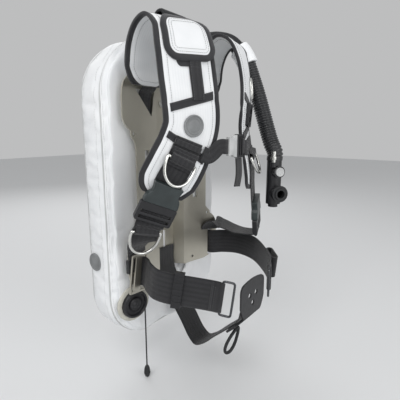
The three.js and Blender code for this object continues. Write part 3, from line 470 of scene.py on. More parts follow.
def dump_cord():
    """Thin pull cord hanging straight out of the dump valve, laid up from twisted strands."""
    drop = CORD["top"] - CORD["bottom"]
    points = [Vector((cord_line.x, cord_line.y, CORD["top"] - drop * i / CORD["steps"]))
              for i in range(CORD["steps"] + 1)]
    rings = []
    for i, point in enumerate(points):
        twist = i * CORD["twist"]
        ring = []
        for a in circle_angles(18):
            r = CORD["diameter"] / 2 * (0.9 + 0.1 * abs(cos(1.5 * (a - twist))) ** 0.7)
            ring.append(point + Vector((cos(a) * r, sin(a) * r, 0)))
        rings.append(ring)
    made = attach(sweep("dump_pull_cord", rings, black_webbing), "pull", "webbing", "dump_cord")
    knob_top = CORD["bottom"] - GAP
    r, length = KNOB["radius"], KNOB["length"]
    profile = [(0, -length), (r - 2.6, -length), (r - 2, -length + 0.6), (r - 0.3, -17.5), (r, -16),
               (r - 0.2, -14.4), (r - 0.9, -13.6), (r - 0.9, -12.8), (r - 0.4, -12), (r - 0.7, -10),
               (r - 1.5, -9.2), (r - 1.5, -8.4), (r - 1, -7.6), (4.2, -3), (2.9, -0.7), (2.3, -0.1), (0, 0)]
    knob = finish_edges(lathe("dump_pull_knob", profile, (cord_line.x, cord_line.y, knob_top), (0, 0, 1),
                              black_rubber, 36))
    attach(knob, "pull", "black_rubber", "dump_knob")


HOSE = {"diameter": 33, "rib": 5.2, "groove": 2.4, "cuff": 9, "rib_steps": 8}
hose_joint = Vector((143, -91, 257))
hose_run = Vector((0.18, -0.66, -0.73)).normalized()
hose_rows = [hose_joint + hose_run * 0.8, hose_joint + hose_run * 15] + [Vector(p) for p in (
    (149, -115, 220), (150, -128, 188), (149, -141, 156), (147.5, -153, 124), (145, -166, 90),
    (142, -178, 62), (140, -188, 44), (140, -188, 28))]


def even_points(rows, step):
    """Points along the curve through rows, spaced step apart as nearly as fits."""
    fine = [spline_point(rows, i / 600) for i in range(601)]
    lengths = [0.0]
    for a, b in zip(fine, fine[1:]):
        lengths.append(lengths[-1] + (b - a).length)
    count = round(lengths[-1] / step)
    points = []
    k = 0
    for i in range(count + 1):
        want = lengths[-1] * i / count
        while k < len(fine) - 2 and lengths[k + 1] < want:
            k += 1
        points.append(fine[k].lerp(fine[k + 1], (want - lengths[k]) / (lengths[k + 1] - lengths[k])))
    return points, lengths[-1]


def corrugated_hose():
    """Ribbed rubber hose from the elbow to the inflator, smooth for a cuff's length at each end."""
    step = HOSE["rib"] / HOSE["rib_steps"]
    points, length = even_points(hose_rows, step)
    cuff = round(HOSE["cuff"] / step)
    radii = []
    for i in range(len(points)):
        wave = (cos(i / HOSE["rib_steps"] * 2 * pi) + 1) / 2
        rib = HOSE["diameter"] / 2 - HOSE["groove"] * (1 - wave ** 0.6)
        radii.append(HOSE["diameter"] / 2 - 0.4 if min(i, len(points) - 1 - i) < cuff else rib)
    made = sweep("inflator_hose", tube_rings(points, radii, 40), hose_rubber)
    attach(made, "hose", "black_rubber", "corrugated_hose")


dump_cord()
corrugated_hose()


# ---------------------------------------------------------------- straps
STRAP = {"width": 50, "thick": 2.4}
BELT = {"width": 55, "thick": 3}
PAD = {"width": 84, "thick": 9}
PER_ROW = 3  # CAD stations to each row of the harness route
FINE = 4  # stations here to each CAD station
PLATE = {"thick": 3, "channel_half": 38, "channel_depth": 22, "lean": 0.187}
PANEL_THICK = 3  # the wing's centre panel, which the plate lies on
flat_front = -(PANEL_THICK + GAP + PLATE["thick"] + PLATE["channel_depth"])


def plate_front(x):
    return flat_front - (abs(x) - PLATE["channel_half"]) * PLATE["lean"]


def strap(name, stations, thick, stands_for, width=None, lift=0.0):
    """Flat webbing with rolled edges along stations."""
    rings = []
    edge = thick * 0.5
    for s in stations:
        half = (width or s.width) / 2
        side = [(half - edge + edge * sin(a), edge * cos(a))
                for a in (radians(d) for d in (12, 40, 65, 90, 115, 140, 168))]
        flat = [(half * k, thick / 2) for k in (-0.85, -0.6, -0.3, 0, 0.3, 0.6, 0.85)]
        outline = flat + side + [(-a, -o) for a, o in flat] + [(-a, -o) for a, o in side]
        rings.append([s.centre + s.across * a + s.out * (lift + o) for a, o in outline])
    on_root(sweep(name, rings, black_webbing), "webbing", stands_for)


def fine_route(rows, side, cad_steps):
    return route(rows, side, cad_steps * FINE)


shoulder_rows = [
    (-84, -55, 162, 0, 56), (-84, -57, 190, 0, 82), (-84, -66, 226, -4, 80), (-84, -84, 250, -8, 78),
    (-84, -106, 257, -12, 78), (-84, -128, 244, -16, 80), (-86, -141, 212, -20, 84),
    (-86, -148, 170, -22, 84), (-82, -151, 128, -22, 84), (-80, -150, 95, -22, 84),
]
chest_rows = {
    "right": [(-88, -143, 62, -24, 84), (-100, -133, 30, -28, 86), (-109, -122, 5, -32, 84),
              (-112, -111, -18, -34, 60)],
    "left": [(-86, -151, 62, -22, 82), (-95, -152, 30, -22, 80), (-103, -151, 4, -22, 74),
             (-108, -149, -18, -22, 54), (-112, -148, -36, -22, 50), (-116, -147, -52, -22, 50)],
}
lower_rows = {
    "right": [(-131, -89, -80, -34), (-130, -79, -100, -30), (-119, -62, -112, 4)],
    "left": [(-128, -124, -131, -24), (-130, -106, -131, -10), (-130, -88, -128, -4),
             (-125, -70, -122, 2), (-116, -57, -117.5, 10.6)],
}
lower_end = [(x, plate_front(x) - GAP - STRAP["thick"] / 2 - off, z, 10.6)
             for x, z, off in ((-113.5, -120.5, 7), (-113, -127.5, 1.6), (-112, -137, 0.4))]
SIDES = {"right": -1, "left": 1}
PAD_END = 13 * PER_ROW
STRAP_START = 29
STRAP_END = {"right": 12 * PER_ROW, "left": 15 * PER_ROW}
STRAP_GAP = 0.6
ON_PAD = PAD["thick"] / 2 + STRAP_GAP + STRAP["thick"] / 2
BUCKLE = {"width": 62, "high": 37, "low": 34, "thick": 13}

pads = {}
for hand, side in SIDES.items():
    rows = shoulder_rows + chest_rows[hand]
    pads[hand] = fine_route(rows, side, (len(rows) - 1) * PER_ROW)


def pad_station(hand, index):
    """Station of the pad route by its CAD number."""
    return pads[hand][index * FINE]


# ---------------------------------------------------------------- the padded shoulder straps
class PadSurface:
    """Places on a pad by distance down it and distance across it, both in millimetres."""

    def __init__(self, stations):
        self.stations = stations
        self.down = [0.0]
        for a, b in zip(stations, stations[1:]):
            self.down.append(self.down[-1] + (b.centre - a.centre).length)

    def distance(self, index):
        """Distance down the pad of a CAD station, given by its number."""
        low = min(int(index * FINE), len(self.down) - 2)
        return self.down[low] + (self.down[low + 1] - self.down[low]) * (index * FINE - low)

    def blend(self, d):
        low = 0
        high = len(self.down) - 1
        while high - low > 1:
            mid = (low + high) // 2
            if self.down[mid] <= d:
                low = mid
            else:
                high = mid
        mix = min(max((d - self.down[low]) / (self.down[high] - self.down[low]), 0), 1)
        return self.stations[low], self.stations[high], mix

    def width(self, d):
        a, b, mix = self.blend(d)
        return a.width + (b.width - a.width) * mix

    def at(self, d, across, out):
        a, b, mix = self.blend(d)
        centre = a.centre.lerp(b.centre, mix)
        return centre + a.across.lerp(b.across, mix) * across + a.out.lerp(b.out, mix) * out


def crown(share):
    """Half thickness of a pad at a share of the way from its middle to its edge."""
    return PAD["thick"] / 2 * (1 - 0.16 * share ** 2 - 0.34 * share ** 8)


def corner_steps(lo, hi, r_lo, r_hi, step):
    """Distances down a shape with rounded ends, closer together round its corners."""
    bends = [0.0, 0.04, 0.12, 0.25, 0.42, 0.62, 0.82]
    start = [lo + r_lo * b for b in bends] if r_lo else [lo]
    end = [hi - r_hi * b for b in reversed(bends)] if r_hi else [hi]
    count = max(2, round((hi - r_hi - lo - r_lo) / step))
    middle = [lo + r_lo + (hi - r_hi - lo - r_lo) * i / count for i in range(count + 1)]
    return start + [d for d in middle if start[-1] + 0.1 < d < end[0] - 0.1] + end


def pull_in(d, lo, hi, r_lo, r_hi):
    """How far the sides draw in at d for the corners of a shape from lo to hi."""
    if r_lo and d < lo + r_lo:
        return r_lo - sqrt(max(r_lo ** 2 - (lo + r_lo - d) ** 2, 0))
    if r_hi and d > hi - r_hi:
        return r_hi - sqrt(max(r_hi ** 2 - (d - hi + r_hi) ** 2, 0))
    return 0.0


def slab(name, surface, span, edges, radii, top, bottom, material, columns, step, skew=0.0):
    """Cloth or foam piece on a pad: from span[0] to span[1] down it and between two edges across it."""
    (lo, hi), (r_lo, r_hi) = span, radii
    rings = []
    for d in corner_steps(lo, hi, r_lo, r_hi, step):
        inset = pull_in(d, lo, hi, r_lo, r_hi)
        left, right = [edge(d) if callable(edge) else edge for edge in edges]
        left, right = left + inset, right - inset
        shares = [(1 - cos(pi * i / columns)) / 2 for i in range(columns + 1)]
        spots = [left + (right - left) * k for k in shares]
        upper = [surface.at(d + skew * a, a, top(d, a)) for a in spots]
        lower = [surface.at(d + skew * a, a, bottom(d, a)) for a in reversed(spots)]
        rings.append(upper + lower)
    return sweep(name, rings, material)


OUTLINE_STEP = 4.0


def rounded_run(span, edges, radii):
    """Outline of such a shape as (down, across) points, going round it once."""
    (lo, hi), (r_lo, r_hi) = span, radii
    steps = corner_steps(lo, hi, r_lo, r_hi, OUTLINE_STEP)
    sides = []
    for edge, sign in zip(edges, (1, -1)):
        sides.append([(d, (edge(d) if callable(edge) else edge) + sign * pull_in(d, lo, hi, r_lo, r_hi))
                      for d in steps])
    left, right = sides
    ends = []
    for a, b in ((left[-1], right[-1]), (right[0], left[0])):
        count = max(2, round(abs(b[1] - a[1]) / OUTLINE_STEP))
        ends.append([(a[0], a[1] + (b[1] - a[1]) * i / count) for i in range(1, count)])
    return left + ends[0] + list(reversed(right)) + ends[1]


def binding(name, surface, outline, reach, top, bottom, material, proud=0.55):
    """Edge tape folded over a shape's edge all the way round, reach mm in from the edge."""
    n = len(outline)
    rings = []
    section = [(reach, 0.05), (reach - 0.7, proud), (reach * 0.5, proud + 0.05), (1.6, proud - 0.05)]
    for i, (d, a) in enumerate(outline):
        before, after = outline[i - 1], outline[(i + 1) % n]
        run = Vector((after[0] - before[0], after[1] - before[1])).normalized()
        inward = Vector((-run.y, run.x)) * -1
        ring = []
        for q, lift in section:
            spot = (d + inward.x * q, a + inward.y * q)
            ring.append(surface.at(*spot, top(*spot) + lift))
        edge = (d + inward.x * 1.6, a + inward.y * 1.6)
        high, low = top(*edge), bottom(*edge)
        middle, half = (high + low) / 2, (high - low) / 2
        for q, share in ((-0.2, 0.75), (-0.8, 0.3), (-0.8, -0.3), (-0.2, -0.75)):
            ring.append(surface.at(d + inward.x * q, a + inward.y * q, middle + half * share))
        for q, lift in reversed(section):
            spot = (d + inward.x * q, a + inward.y * q)
            ring.append(surface.at(*spot, bottom(*spot) - lift))
        rings.append(ring)
    return sweep(name, rings, material, closed=True)


def stitches(name, places, material, length=2.3, gap=1.3, radius=0.32):
    """Short raised threads along a line of points."""
    total = [0.0]
    for a, b in zip(places, places[1:]):
        total.append(total[-1] + (b - a).length)

    def along(want):
        k = 0
        while k < len(total) - 2 and total[k + 1] < want:
            k += 1
        span = max(total[k + 1] - total[k], 1e-6)
        return places[k].lerp(places[k + 1], (want - total[k]) / span)

    points, faces = [], []
    start = 0.0
    while start + length <= total[-1]:
        a, b = along(start), along(start + length)
        run = (b - a).normalized()
        x = run.orthogonal().normalized() * radius
        y = run.cross(x)
        base = len(points)
        for centre, scale in ((a, 0.45), (a.lerp(b, 0.25), 1), (a.lerp(b, 0.75), 1), (b, 0.45)):
            points += [centre + x * scale, centre + y * scale, centre - x * scale, centre - y * scale]
        for ring in range(3):
            for j in range(4):
                k = (j + 1) % 4
                faces.append((base + ring * 4 + j, base + ring * 4 + k, base + ring * 4 + 4 + k,
                              base + ring * 4 + 4 + j))
        faces += [(base, base + 1, base + 2, base + 3), tuple(base + 12 + j for j in range(4))]
        start += length + gap
    return mesh_object(name, points, faces, material)


BINDING_REACH = 8.5
SEAM_INSET = BINDING_REACH - 1.8  # the stitch row runs just inside the binding's edge
SEAM_STATIONS = {"right": (2.5, 23.7, 30.0), "left": (2.5, 24.5, 31.0)}


def shoulder_pad(hand):
    """White padded shoulder strap with black edge binding and seams; its cross bands are made apart, by
    band.
    """
    surface = PadSurface(pads[hand])
    span = (0.0, surface.distance(PAD_END))
    radii = (16, 18)
    half = [lambda d: -surface.width(d) / 2, lambda d: surface.width(d) / 2]
    seams = [surface.distance(k) for k in SEAM_STATIONS[hand]]

    def top(d, a):
        share = min(abs(a) / (surface.width(d) / 2), 1)
        sewn = sum(1.1 * exp(-((d - seam) / 6) ** 2) for seam in seams)
        return crown(share) - sewn

    def bottom(d, a):
        return -top(d, a) * 0.96

    body = slab(f"pad_{hand}", surface, span, half, radii, top, bottom, pad_cloth, 22, 3.0)
    on_root(body, "pad_fabric", f"shoulder_pad_{hand}")
    outline = rounded_run(span, half, radii)
    edge = binding(f"pad_binding_{hand}", surface, outline, BINDING_REACH, top, bottom, binding_cloth)
    on_root(edge, "webbing")
    sewn = []
    for face, lift in ((top, 0.75), (lambda d, a: -top(d, a), -0.75)):
        inner = rounded_run((span[0] + SEAM_INSET, span[1] - SEAM_INSET),
                            [lambda d: -surface.width(d) / 2 + SEAM_INSET,
                             lambda d: surface.width(d) / 2 - SEAM_INSET], (10, 12))
        line = [surface.at(d, a, face(d, a) + lift) for d, a in inner]
        sewn.append(stitches("sewn", line + line[:1], stitch_grey))
    on_root(merge(f"pad_stitching_{hand}", sewn), "webbing")
    return surface, top, bottom


surfaces = {hand: shoulder_pad(hand) for hand in SIDES}


def band(name, surface, top, centre, skew):
    """Black tape sewn across a pad at a slant."""
    width = 12
    edge = BINDING_REACH * 0.4
    limits = [lambda d: -surface.width(d) / 2 + edge, lambda d: surface.width(d) / 2 - edge]
    cover = slab(name, surface, (centre - width / 2, centre + width / 2), limits, (0, 0),
                 lambda d, a: top(d + skew * a, a) + 1.5, lambda d, a: top(d + skew * a, a) - 0.6,
                 binding_cloth, 18, 3.0, skew)
    on_root(cover, "webbing")
    rows = []
    for offset in (-width / 2 + 1.6, width / 2 - 1.6):
        reach = surface.width(centre) / 2 - BINDING_REACH
        spots = [-reach + 2 * reach * i / 20 for i in range(21)]
        rows.append(stitches("row", [surface.at(centre + offset + skew * a, a,
                                                top(centre + offset + skew * a, a) + 1.65)
                                     for a in spots], stitch_grey))
    on_root(merge(f"{name}_stitching", rows), "webbing")


right_surface, right_top, _ = surfaces["right"]
left_surface, _, left_bottom = surfaces["left"]
for band_name, station, slant in (("upper_right", 23.7, -0.16), ("lower_right", 30.0, 0.22),
                                  ("upper_left", 23.2, -0.16), ("lower_left", 27.6, 0.16)):
    surface, top, _ = surfaces[band_name.split("_")[1]]
    band(f"cross_band_{band_name}", surface, top, surface.distance(station), slant)


def flap():
    """Hook-and-loop flap wrapped over the right pad, white with a black bound edge."""
    surface, base = right_surface, right_top
    span = (surface.distance(14), surface.distance(18.9))
    edges = [-29.0, 42.5]
    radii = (15, 13)

    def top(d, a):
        return base(d, min(abs(a), 40)) + STRAP_GAP + 3.4

    def bottom(d, a):
        return base(d, min(abs(a), 40)) + STRAP_GAP

    body = slab("hose_flap", surface, span, edges, radii, top, bottom, pad_cloth, 18, 3.0)
    on_root(body, "pad_fabric", "hose_flap_right")
    outline = rounded_run(span, edges, radii)
    edge = binding("hose_flap_binding", surface, outline, 9.5, top, bottom, binding_cloth, 0.5)
    on_root(edge, "webbing")
    rows = []
    for inset in (3.0, 7.6):
        run = rounded_run((span[0] + inset, span[1] - inset), [edges[0] + inset, edges[1] - inset],
                          (radii[0] - inset, radii[1] - inset))
        line = [surface.at(d, a, top(d, a) + 0.62) for d, a in run]
        rows.append(stitches("row", line + line[:1], stitch_grey))
    on_root(merge("hose_flap_stitching", rows), "webbing")
    # the sewn patch and the webbing keeper that run down from under the flap
    patch_span = (surface.distance(18.6), surface.distance(20.1))
    patch_edges = [lambda d: -25 + (d - patch_span[0]) * 0.35, 15.0]
    patch = slab("flap_patch", surface, patch_span, patch_edges, (0, 5), lambda d, a: base(d, a) + 1.7,
                 lambda d, a: base(d, a) - 0.4, binding_cloth, 12, 2.5)
    on_root(patch, "webbing")
    strip_span = (surface.distance(19.4), surface.distance(23.6))
    strip = slab("keeper_strip", surface, strip_span, [0.0, 21.0], (0, 0),
                 lambda d, a: base(d, a) + 2.9, lambda d, a: base(d, a) - 0.2, black_webbing, 10, 3.0)
    on_root(strip, "webbing")
    rows = []
    for a in (2.2, 18.8):
        steps = [strip_span[0] + (strip_span[1] - strip_span[0]) * i / 24 for i in range(25)]
        rows.append(stitches("row", [surface.at(d, a, base(d, a) + 3.05) for d in steps], stitch_grey))
    for d in (strip_span[0] + 3, strip_span[0] + 11):
        rows.append(stitches("row", [surface.at(d, 2 + 17 * i / 6, base(d, 2 + 17 * i / 6) + 3.05)
                                     for i in range(7)], stitch_grey))
    on_root(merge("keeper_stitching", rows), "webbing")


flap()


# ---------------------------------------------------------------- webbing of the harness
lower_strap = {}
for hand, side in SIDES.items():
    stations = pads[hand]
    strap(f"webbing_pad_{hand}", stations[STRAP_START * FINE:STRAP_END[hand] * FINE + 1],
          STRAP["thick"], f"pad_webbing_{hand}", STRAP["width"], ON_PAD)
    back = [(-70, -48.6, 181, 0, 34), (-70, -48.2, 172, 0, 34), (-69, -43, 161, 0, 34),
            (-68, -33, 153.5, 6, 34), (-67.5, -28.9, 141, 10.6, 34), (-68, -29, 118, 10.6, 34)]
    strap(f"webbing_back_{hand}", fine_route(back, side, 12), STRAP["thick"],
          f"back_webbing_{hand}")
    end = pad_station(hand, STRAP_END[hand])
    lift = PAD["thick"] / 2 + STRAP_GAP + BUCKLE["thick"] / 2
    tail = end.centre + end.out * lift + end.tangent * (BUCKLE["high"] + GAP + BUCKLE["low"] + 2 * GAP)
    follow = tail + end.tangent * 8
    turn = -34 if hand == "right" else -24
    rows = [(tail.x * -side, tail.y, tail.z, turn, STRAP["width"]),
            (follow.x * -side, follow.y, follow.z, turn, STRAP["width"])]
    rows += [tuple(row) + (STRAP["width"],) for row in lower_rows[hand] + lower_end]
    lower_strap[hand] = fine_route(rows, side, 20)
    strap(f"webbing_lower_{hand}", lower_strap[hand], STRAP["thick"],
          f"lower_webbing_{hand}")

UPRIGHT = (0, 0, 1)
STERNUM = {"x": 2, "y": -180, "z": 61, "scale": 0.62, "width": 25, "thick": 2, "tail": 51}
for hand, sign, reach in (("right", -1, BUCKLE["high"]), 
                               ("left", 1, BUCKLE["low"] + GAP / STERNUM["scale"])):
    station = pad_station(hand, 10 * PER_ROW)
    lift = PAD["thick"] / 2 + STRAP_GAP + STERNUM["thick"] / 2 + 1.2
    up_pad = tuple(-station.tangent)
    fronts = [station.centre + station.across * inward + station.out * lift for inward in (30, 44)]
    end_x = STERNUM["x"] + sign * (reach * STERNUM["scale"] + GAP)
    rows = [tuple(p) + (up_pad,) for p in fronts]
    rows += [(sign * 36, STERNUM["y"] + 5, STERNUM["z"], UPRIGHT),
             (end_x + sign * 6, STERNUM["y"], STERNUM["z"], UPRIGHT),
             (end_x, STERNUM["y"], STERNUM["z"], UPRIGHT)]
    strap(f"webbing_sternum_{hand}", fine_route([row + (STERNUM["width"],) for row in rows], -1, 12),
          STERNUM["thick"], f"sternum_webbing_{hand}")
tail_top = STERNUM["z"] - (BUCKLE["width"] + 4) * STERNUM["scale"] / 2 - 2 * GAP
tail_rows = [(13, STERNUM["y"], tail_top), (13, STERNUM["y"] - 1, tail_top - 12),
             (12, STERNUM["y"] - 2, tail_top - 30), (10, STERNUM["y"], tail_top - STERNUM["tail"])]
strap("webbing_sternum_tail", fine_route([row + (0, STERNUM["width"] - 5) for row in tail_rows], -1, 6),
      STERNUM["thick"], "sternum_tail")

LEANING = (0.17, 0.03, 0.985)
HALF_LEANING = (0.085, 0.015, 0.99)
slot_face = plate_front(112)
belt_rows = {
    "right": [(-113, slot_face + 8.138, -168, UPRIGHT), (-113, slot_face + 2.638, -168, UPRIGHT),
              (-107.6, slot_face - 2.662, -168.5, HALF_LEANING), (-103.6, slot_face - 7.862, -169, LEANING),
              (-104, -57, -170, LEANING), (-110, -72, -174, LEANING), (-114, -92, -179, LEANING),
              (-108, -112, -183, LEANING), (-97, -130, -186, LEANING), (-80, -156, -190, LEANING),
              (-64, -184, -194, LEANING), (-60.5, -193, -195, LEANING)],
    "left": [(-114.7, -34, -168, UPRIGHT), (-114.7, -47, -168, UPRIGHT), (-134, -66, -168, UPRIGHT),
             (-151, -98, -169, UPRIGHT), (-149, -140, -174, UPRIGHT), (-128, -178, -184, UPRIGHT),
             (-98, -208, -193, UPRIGHT), (-74, -219, -197, UPRIGHT)],
}
belts = {}
for hand, side in SIDES.items():
    rows = [row + (BELT["width"],) for row in belt_rows[hand]]
    belts[hand] = fine_route(rows, side, (len(rows) - 1) * PER_ROW)
    strap(f"webbing_belt_{hand}", belts[hand], BELT["thick"], f"waist_belt_{hand}")

CROTCH_EASE = 0.9  # slack between the crotch strap and the floor of the plate's channel
CROTCH_Y = -(PANEL_THICK + GAP + PLATE["thick"]) - GAP - STRAP["thick"] / 2 - CROTCH_EASE
crotch_rows = [(0, CROTCH_Y, -158), (0, CROTCH_Y, -198), (0, -20, -226), (0, -45, -262), (0, -74, -300),
               (-1, -94, -326), (-4, -112, -334), (-8, -134, -322), (-10, -166, -292), (-12, -196, -264),
               (-12, -216, -243), (-12, -221.2, -225)]
crotch = fine_route([row + (0, STRAP["width"]) for row in crotch_rows], -1, 33)
strap("webbing_crotch", crotch, STRAP["thick"], "crotch_strap")


# ---------------------------------------------------------------- D-rings
RING = {"wire": 2.6, "width": 58, "depth": 46, "tilt": -0.22, "lower_tilt": -0.45}


def at_station(station, lift, along=0.0):
    place = station.centre + station.out * lift + station.tangent * along
    return stand(place, station.tangent, station.out)


def d_ring(name, station, lift, tilt, stands_for):
    """Wire D-ring, which rides on the body of its own name."""
    half = RING["width"] / 2 - RING["wire"]
    drop = RING["depth"] - 2 * RING["wire"]
    outline = [(half * t, 0, 0) for t in (-0.97, -0.8, -0.5, 0, 0.5, 0.8, 0.97)]
    for i in range(33):
        angle = i / 32 * pi
        outline.append((half * cos(angle), -drop * max(sin(angle), 0) ** 0.8 - 0.2, 0))
    turn = Matrix.Rotation(tilt, 3, "X")
    turned = [turn @ Vector(p) for p in outline]
    stood = at_station(station, lift)
    rings = [[placed(stood, point) for point in ring]
             for ring in closed_tube(turned, turn @ Vector((0, 0, 1)), RING["wire"], 14)]
    attach(sweep(name, rings, bright_steel, closed=True), name, "bright_steel", stands_for)


strap_top = ON_PAD + STRAP["thick"] / 2
ring_lift = strap_top + STRAP_GAP + RING["wire"]
lower_ring_lift = STRAP["thick"] / 2 + STRAP_GAP + RING["wire"]
for hand in SIDES:
    d_ring(f"ring_upper_{hand}", pad_station(hand, 32), ring_lift, RING["tilt"],
           f"dring_upper_{hand}")
d_ring("ring_lower_right", lower_strap["right"][5 * FINE], lower_ring_lift, RING["lower_tilt"],
       "dring_lower_right")


# ---------------------------------------------------------------- hard CAD nodes
def weld(thing):
    """Joins the CAD mesh's faces, so that modifiers see one surface, and shades them smooth."""
    thing.modifiers.new("weld", "WELD").merge_threshold = 2e-5
    thing.data.polygons.foreach_set("use_smooth", [True] * len(thing.data.polygons))


def sharpen(thing, bevel):
    """Rounds a kept CAD node's edges and gives it clean shading."""
    weld(thing)
    flat = thing.modifiers.new("flat", "DECIMATE")
    flat.decimate_type = "DISSOLVE"
    flat.angle_limit = radians(1.5)
    rounded = thing.modifiers.new("edges", "BEVEL")
    rounded.width = bevel * MM
    rounded.segments = 2
    rounded.limit_method = "ANGLE"
    rounded.angle_limit = radians(38)
    evened = thing.modifiers.new("shading", "WEIGHTED_NORMAL")
    evened.weight = 100
    evened.keep_sharp = True


# material of each CAD node that stays in view, and the radius of its edges in mm
NODE_LOOKS = {
    "backplate": (plate_steel, 0.9), "waist_slide_right": (plate_steel, 0.7),
    "wing_center_panel": (wing_cloth, 1.0), "wing_screw_upper": (bright_steel, 0.5),
    "wing_screw_lower": (bright_steel, 0.5),
    "air_bladder": (wing_cloth, 0), "dump_flange": (cream_plastic, 0.5),
    "dump_poppet": (black_rubber, 0), "elbow_flange": (black_plastic, 0.5),
    "elbow": (black_rubber, 0), "hose_sleeve": (wing_cloth, 0.8), "inflator_body": (black_plastic, 0.7),
    "deflate_button": (black_plastic, 0.6),
    "mouthpiece": (black_rubber, 0.6), "lp_nipple": (bright_steel, 0.4),
    "quick_release_female_right": (buckle_plastic, 1.4), "quick_release_male_right": (black_plastic, 0.9),
    "quick_release_female_left": (buckle_plastic, 1.4), "quick_release_male_left": (black_plastic, 0.9),
    "sternum_buckle_female": (grey_plastic, 0.9), "sternum_buckle_male": (black_plastic, 0.6),
    "strap_slide_left": (black_plastic, 0.6), "belt_adjuster": (black_plastic, 0.5),
    "waist_frame_right": (dark_steel, 0), "waist_frame_left": (dark_steel, 0),
    "center_plate": (black_plastic, 0.6), "crotch_frame": (black_plastic, 0.6),
    "crotch_loop": (black_rubber, 0), "belt_tail_left": (black_webbing, 0.8),
    "hip_tab_right": (black_webbing, 0.5), "handle_grip": (black_rubber, 0.8),
    "handle_strap": (black_webbing, 0), "chest_ring_left": (bright_steel, 0),
}
for node, (material, bevel) in NODE_LOOKS.items():
    nodes[node].data.materials.clear()
    nodes[node].data.materials.append(material)
    if bevel:
        sharpen(nodes[node], bevel)
for node in ("elbow", "waist_frame_right", "waist_frame_left", "crotch_loop", "chest_ring_left"):
    weld(nodes[node])
    soften(nodes[node], 2)


# ---------------------------------------------------------------- turned details
def turned(name, profile, origin, axis, material, stands_for, slot, sides=48):
    on_root(finish_edges(lathe(name, profile, origin, axis, material, sides), 50), slot, stands_for)


WING_BADGE = Vector((-153, 25, -154))
ELBOW_PORT = Vector((97, 15, 235))
ELBOW_AXIS = Vector((0.5, 0, 0.866))


def badge_profile(r, thick):
    """Plain round badge: a rolled rim, a groove, an inner ring and a low dome."""
    return [(0, 0), (r - 0.3, 0), (r, 0.4), (r, thick - 0.8), (r - 0.7, thick - 0.1), (r - 1.6, thick),
            (r - 2.4, thick - 0.3), (r - 2.8, thick - 1.3), (r - 4.6, thick - 1.3), (r - 5.0, thick - 0.6),
            (r - 5.9, thick - 0.6), (r - 6.3, thick - 1.3), (r - 7.2, thick - 1.3), (r - 8.2, thick - 0.7),
            (r * 0.3, thick - 0.2), (0, thick)]


chest = pad_station("right", 27)
turned("badge_pad", badge_profile(17.5, 3), chest.centre + chest.out * (PAD["thick"] / 2 + STRAP_GAP),
       chest.out, badge_rubber, "pad_badge_right", "badge_rubber")
turned("badge_wing", badge_profile(17, 2.6), WING_BADGE - Vector((GAP, 0, 0)), (-1, 0, 0), badge_rubber,
       "wing_badge", "badge_rubber")
r, high = DUMP["body"], DUMP["height"]
turned("dump_valve_body",
       [(0, 3), (r - 5, 2.4), (r, 2.6), (r, high - 2), (r - 0.7, high - 0.6), (r - 1.8, high),
        (r - 3.6, high), (r - 4.4, high - 0.8), (r - 4.8, 5.4), (r - 6, 4.8), (13.6, 4.8), (12.8, 5.4),
        (12.4, high - 3),
        (11.6, high - 1.8), (9.5, high - 1.4), (9, high - 2), (4.6, high - 2), (4, high - 1.4),
        (0, high - 1.2)],
       dump_at, dump_out, black_plastic, "dump_body", "black_plastic", 64)

SPRING = {"low": -10.7, "high": 8.7, "radius": 9, "wire": 0.7, "turns": 6, "turn_steps": 20,
          "keep": 0.79}


def dump_spring():
    """Coil spring that holds the dump valve shut, made at its rest length; it does not shorten here as the
    poppet lifts.
    """
    across = dump_out.orthogonal().normalized()
    beside = dump_out.cross(across)
    count = SPRING["turns"] * SPRING["turn_steps"]
    length = SPRING["high"] - SPRING["low"] - 2 * SPRING["wire"]
    points = []
    for i in range(count + 1):
        a = i / SPRING["turn_steps"] * 2 * pi
        height = SPRING["low"] + SPRING["wire"] + length * i / count
        spoke = across * cos(a) + beside * sin(a)
        points.append(dump_at + dump_out * height + spoke * SPRING["radius"])
    made = sweep("dump_return_spring", tube_rings(points, SPRING["wire"], 8), bright_steel)
    on_root(made, "bright_steel", "dump_spring")
    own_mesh(made)


dump_spring()

CORE = Vector((140, -188, 0))
FACING = Vector((-0.6, -0.8, 0))
BUTTON_Z = 6


def inflate_button():
    """Grey press button with a rolled edge and a pattern of small grip dots."""
    profile = [(0, 20.4), (8.6, 20.4), (9, 20.8), (9, 26.8), (8.5, 27.8), (7.7, 28), (7.1, 27.7),
               (6.9, 27.2), (0, 27.2)]
    dot = [(0, 27.1), (0.8, 27.1), (0.75, 27.5), (0.4, 27.8), (0, 27.9)]
    origin = CORE + Vector((0, 0, BUTTON_Z))
    parts = [lathe("button", profile, origin, FACING, grey_plastic, 40)]
    across = FACING.cross(Vector((0, 0, 1)))
    spots = [(0, 0)]
    for radius, count in ((2.6, 6), (5.2, 12)):
        spots += [(radius * cos(a), radius * sin(a)) for a in circle_angles(count)]
    for x, z in spots:
        spot = origin + across * x + Vector((0, 0, z))
        parts.append(lathe("dot", dot, spot, FACING, grey_plastic, 8))
    made = finish_edges(merge("button_inflate", parts), 50)
    attach(made, "inflate", "grey_plastic", "inflate_button")


inflate_button()


# ---------------------------------------------------------------- webbing loops round the D-ring bars
def ring_loop(name, surface, station, base, bar_lift, reach):
    """Loop of webbing sewn down on both sides of a D-ring's bar."""
    middle = surface.distance(station)
    span = (middle - reach, middle + reach)
    peak = bar_lift + RING["wire"] + 2.0

    def top(d, a):
        near = max(0.0, 1 - ((d - middle) / (reach * 0.62)) ** 2)
        return base + 1.7 + (peak - base - 1.7) * min(1.0, near * 1.5)

    cover = slab(name, surface, span, [-21.5, 21.5], (0, 0), top, lambda d, a: max(top(d, a) - 1.8, base),
                 black_webbing, 10, 1.2)
    on_root(cover, "webbing")


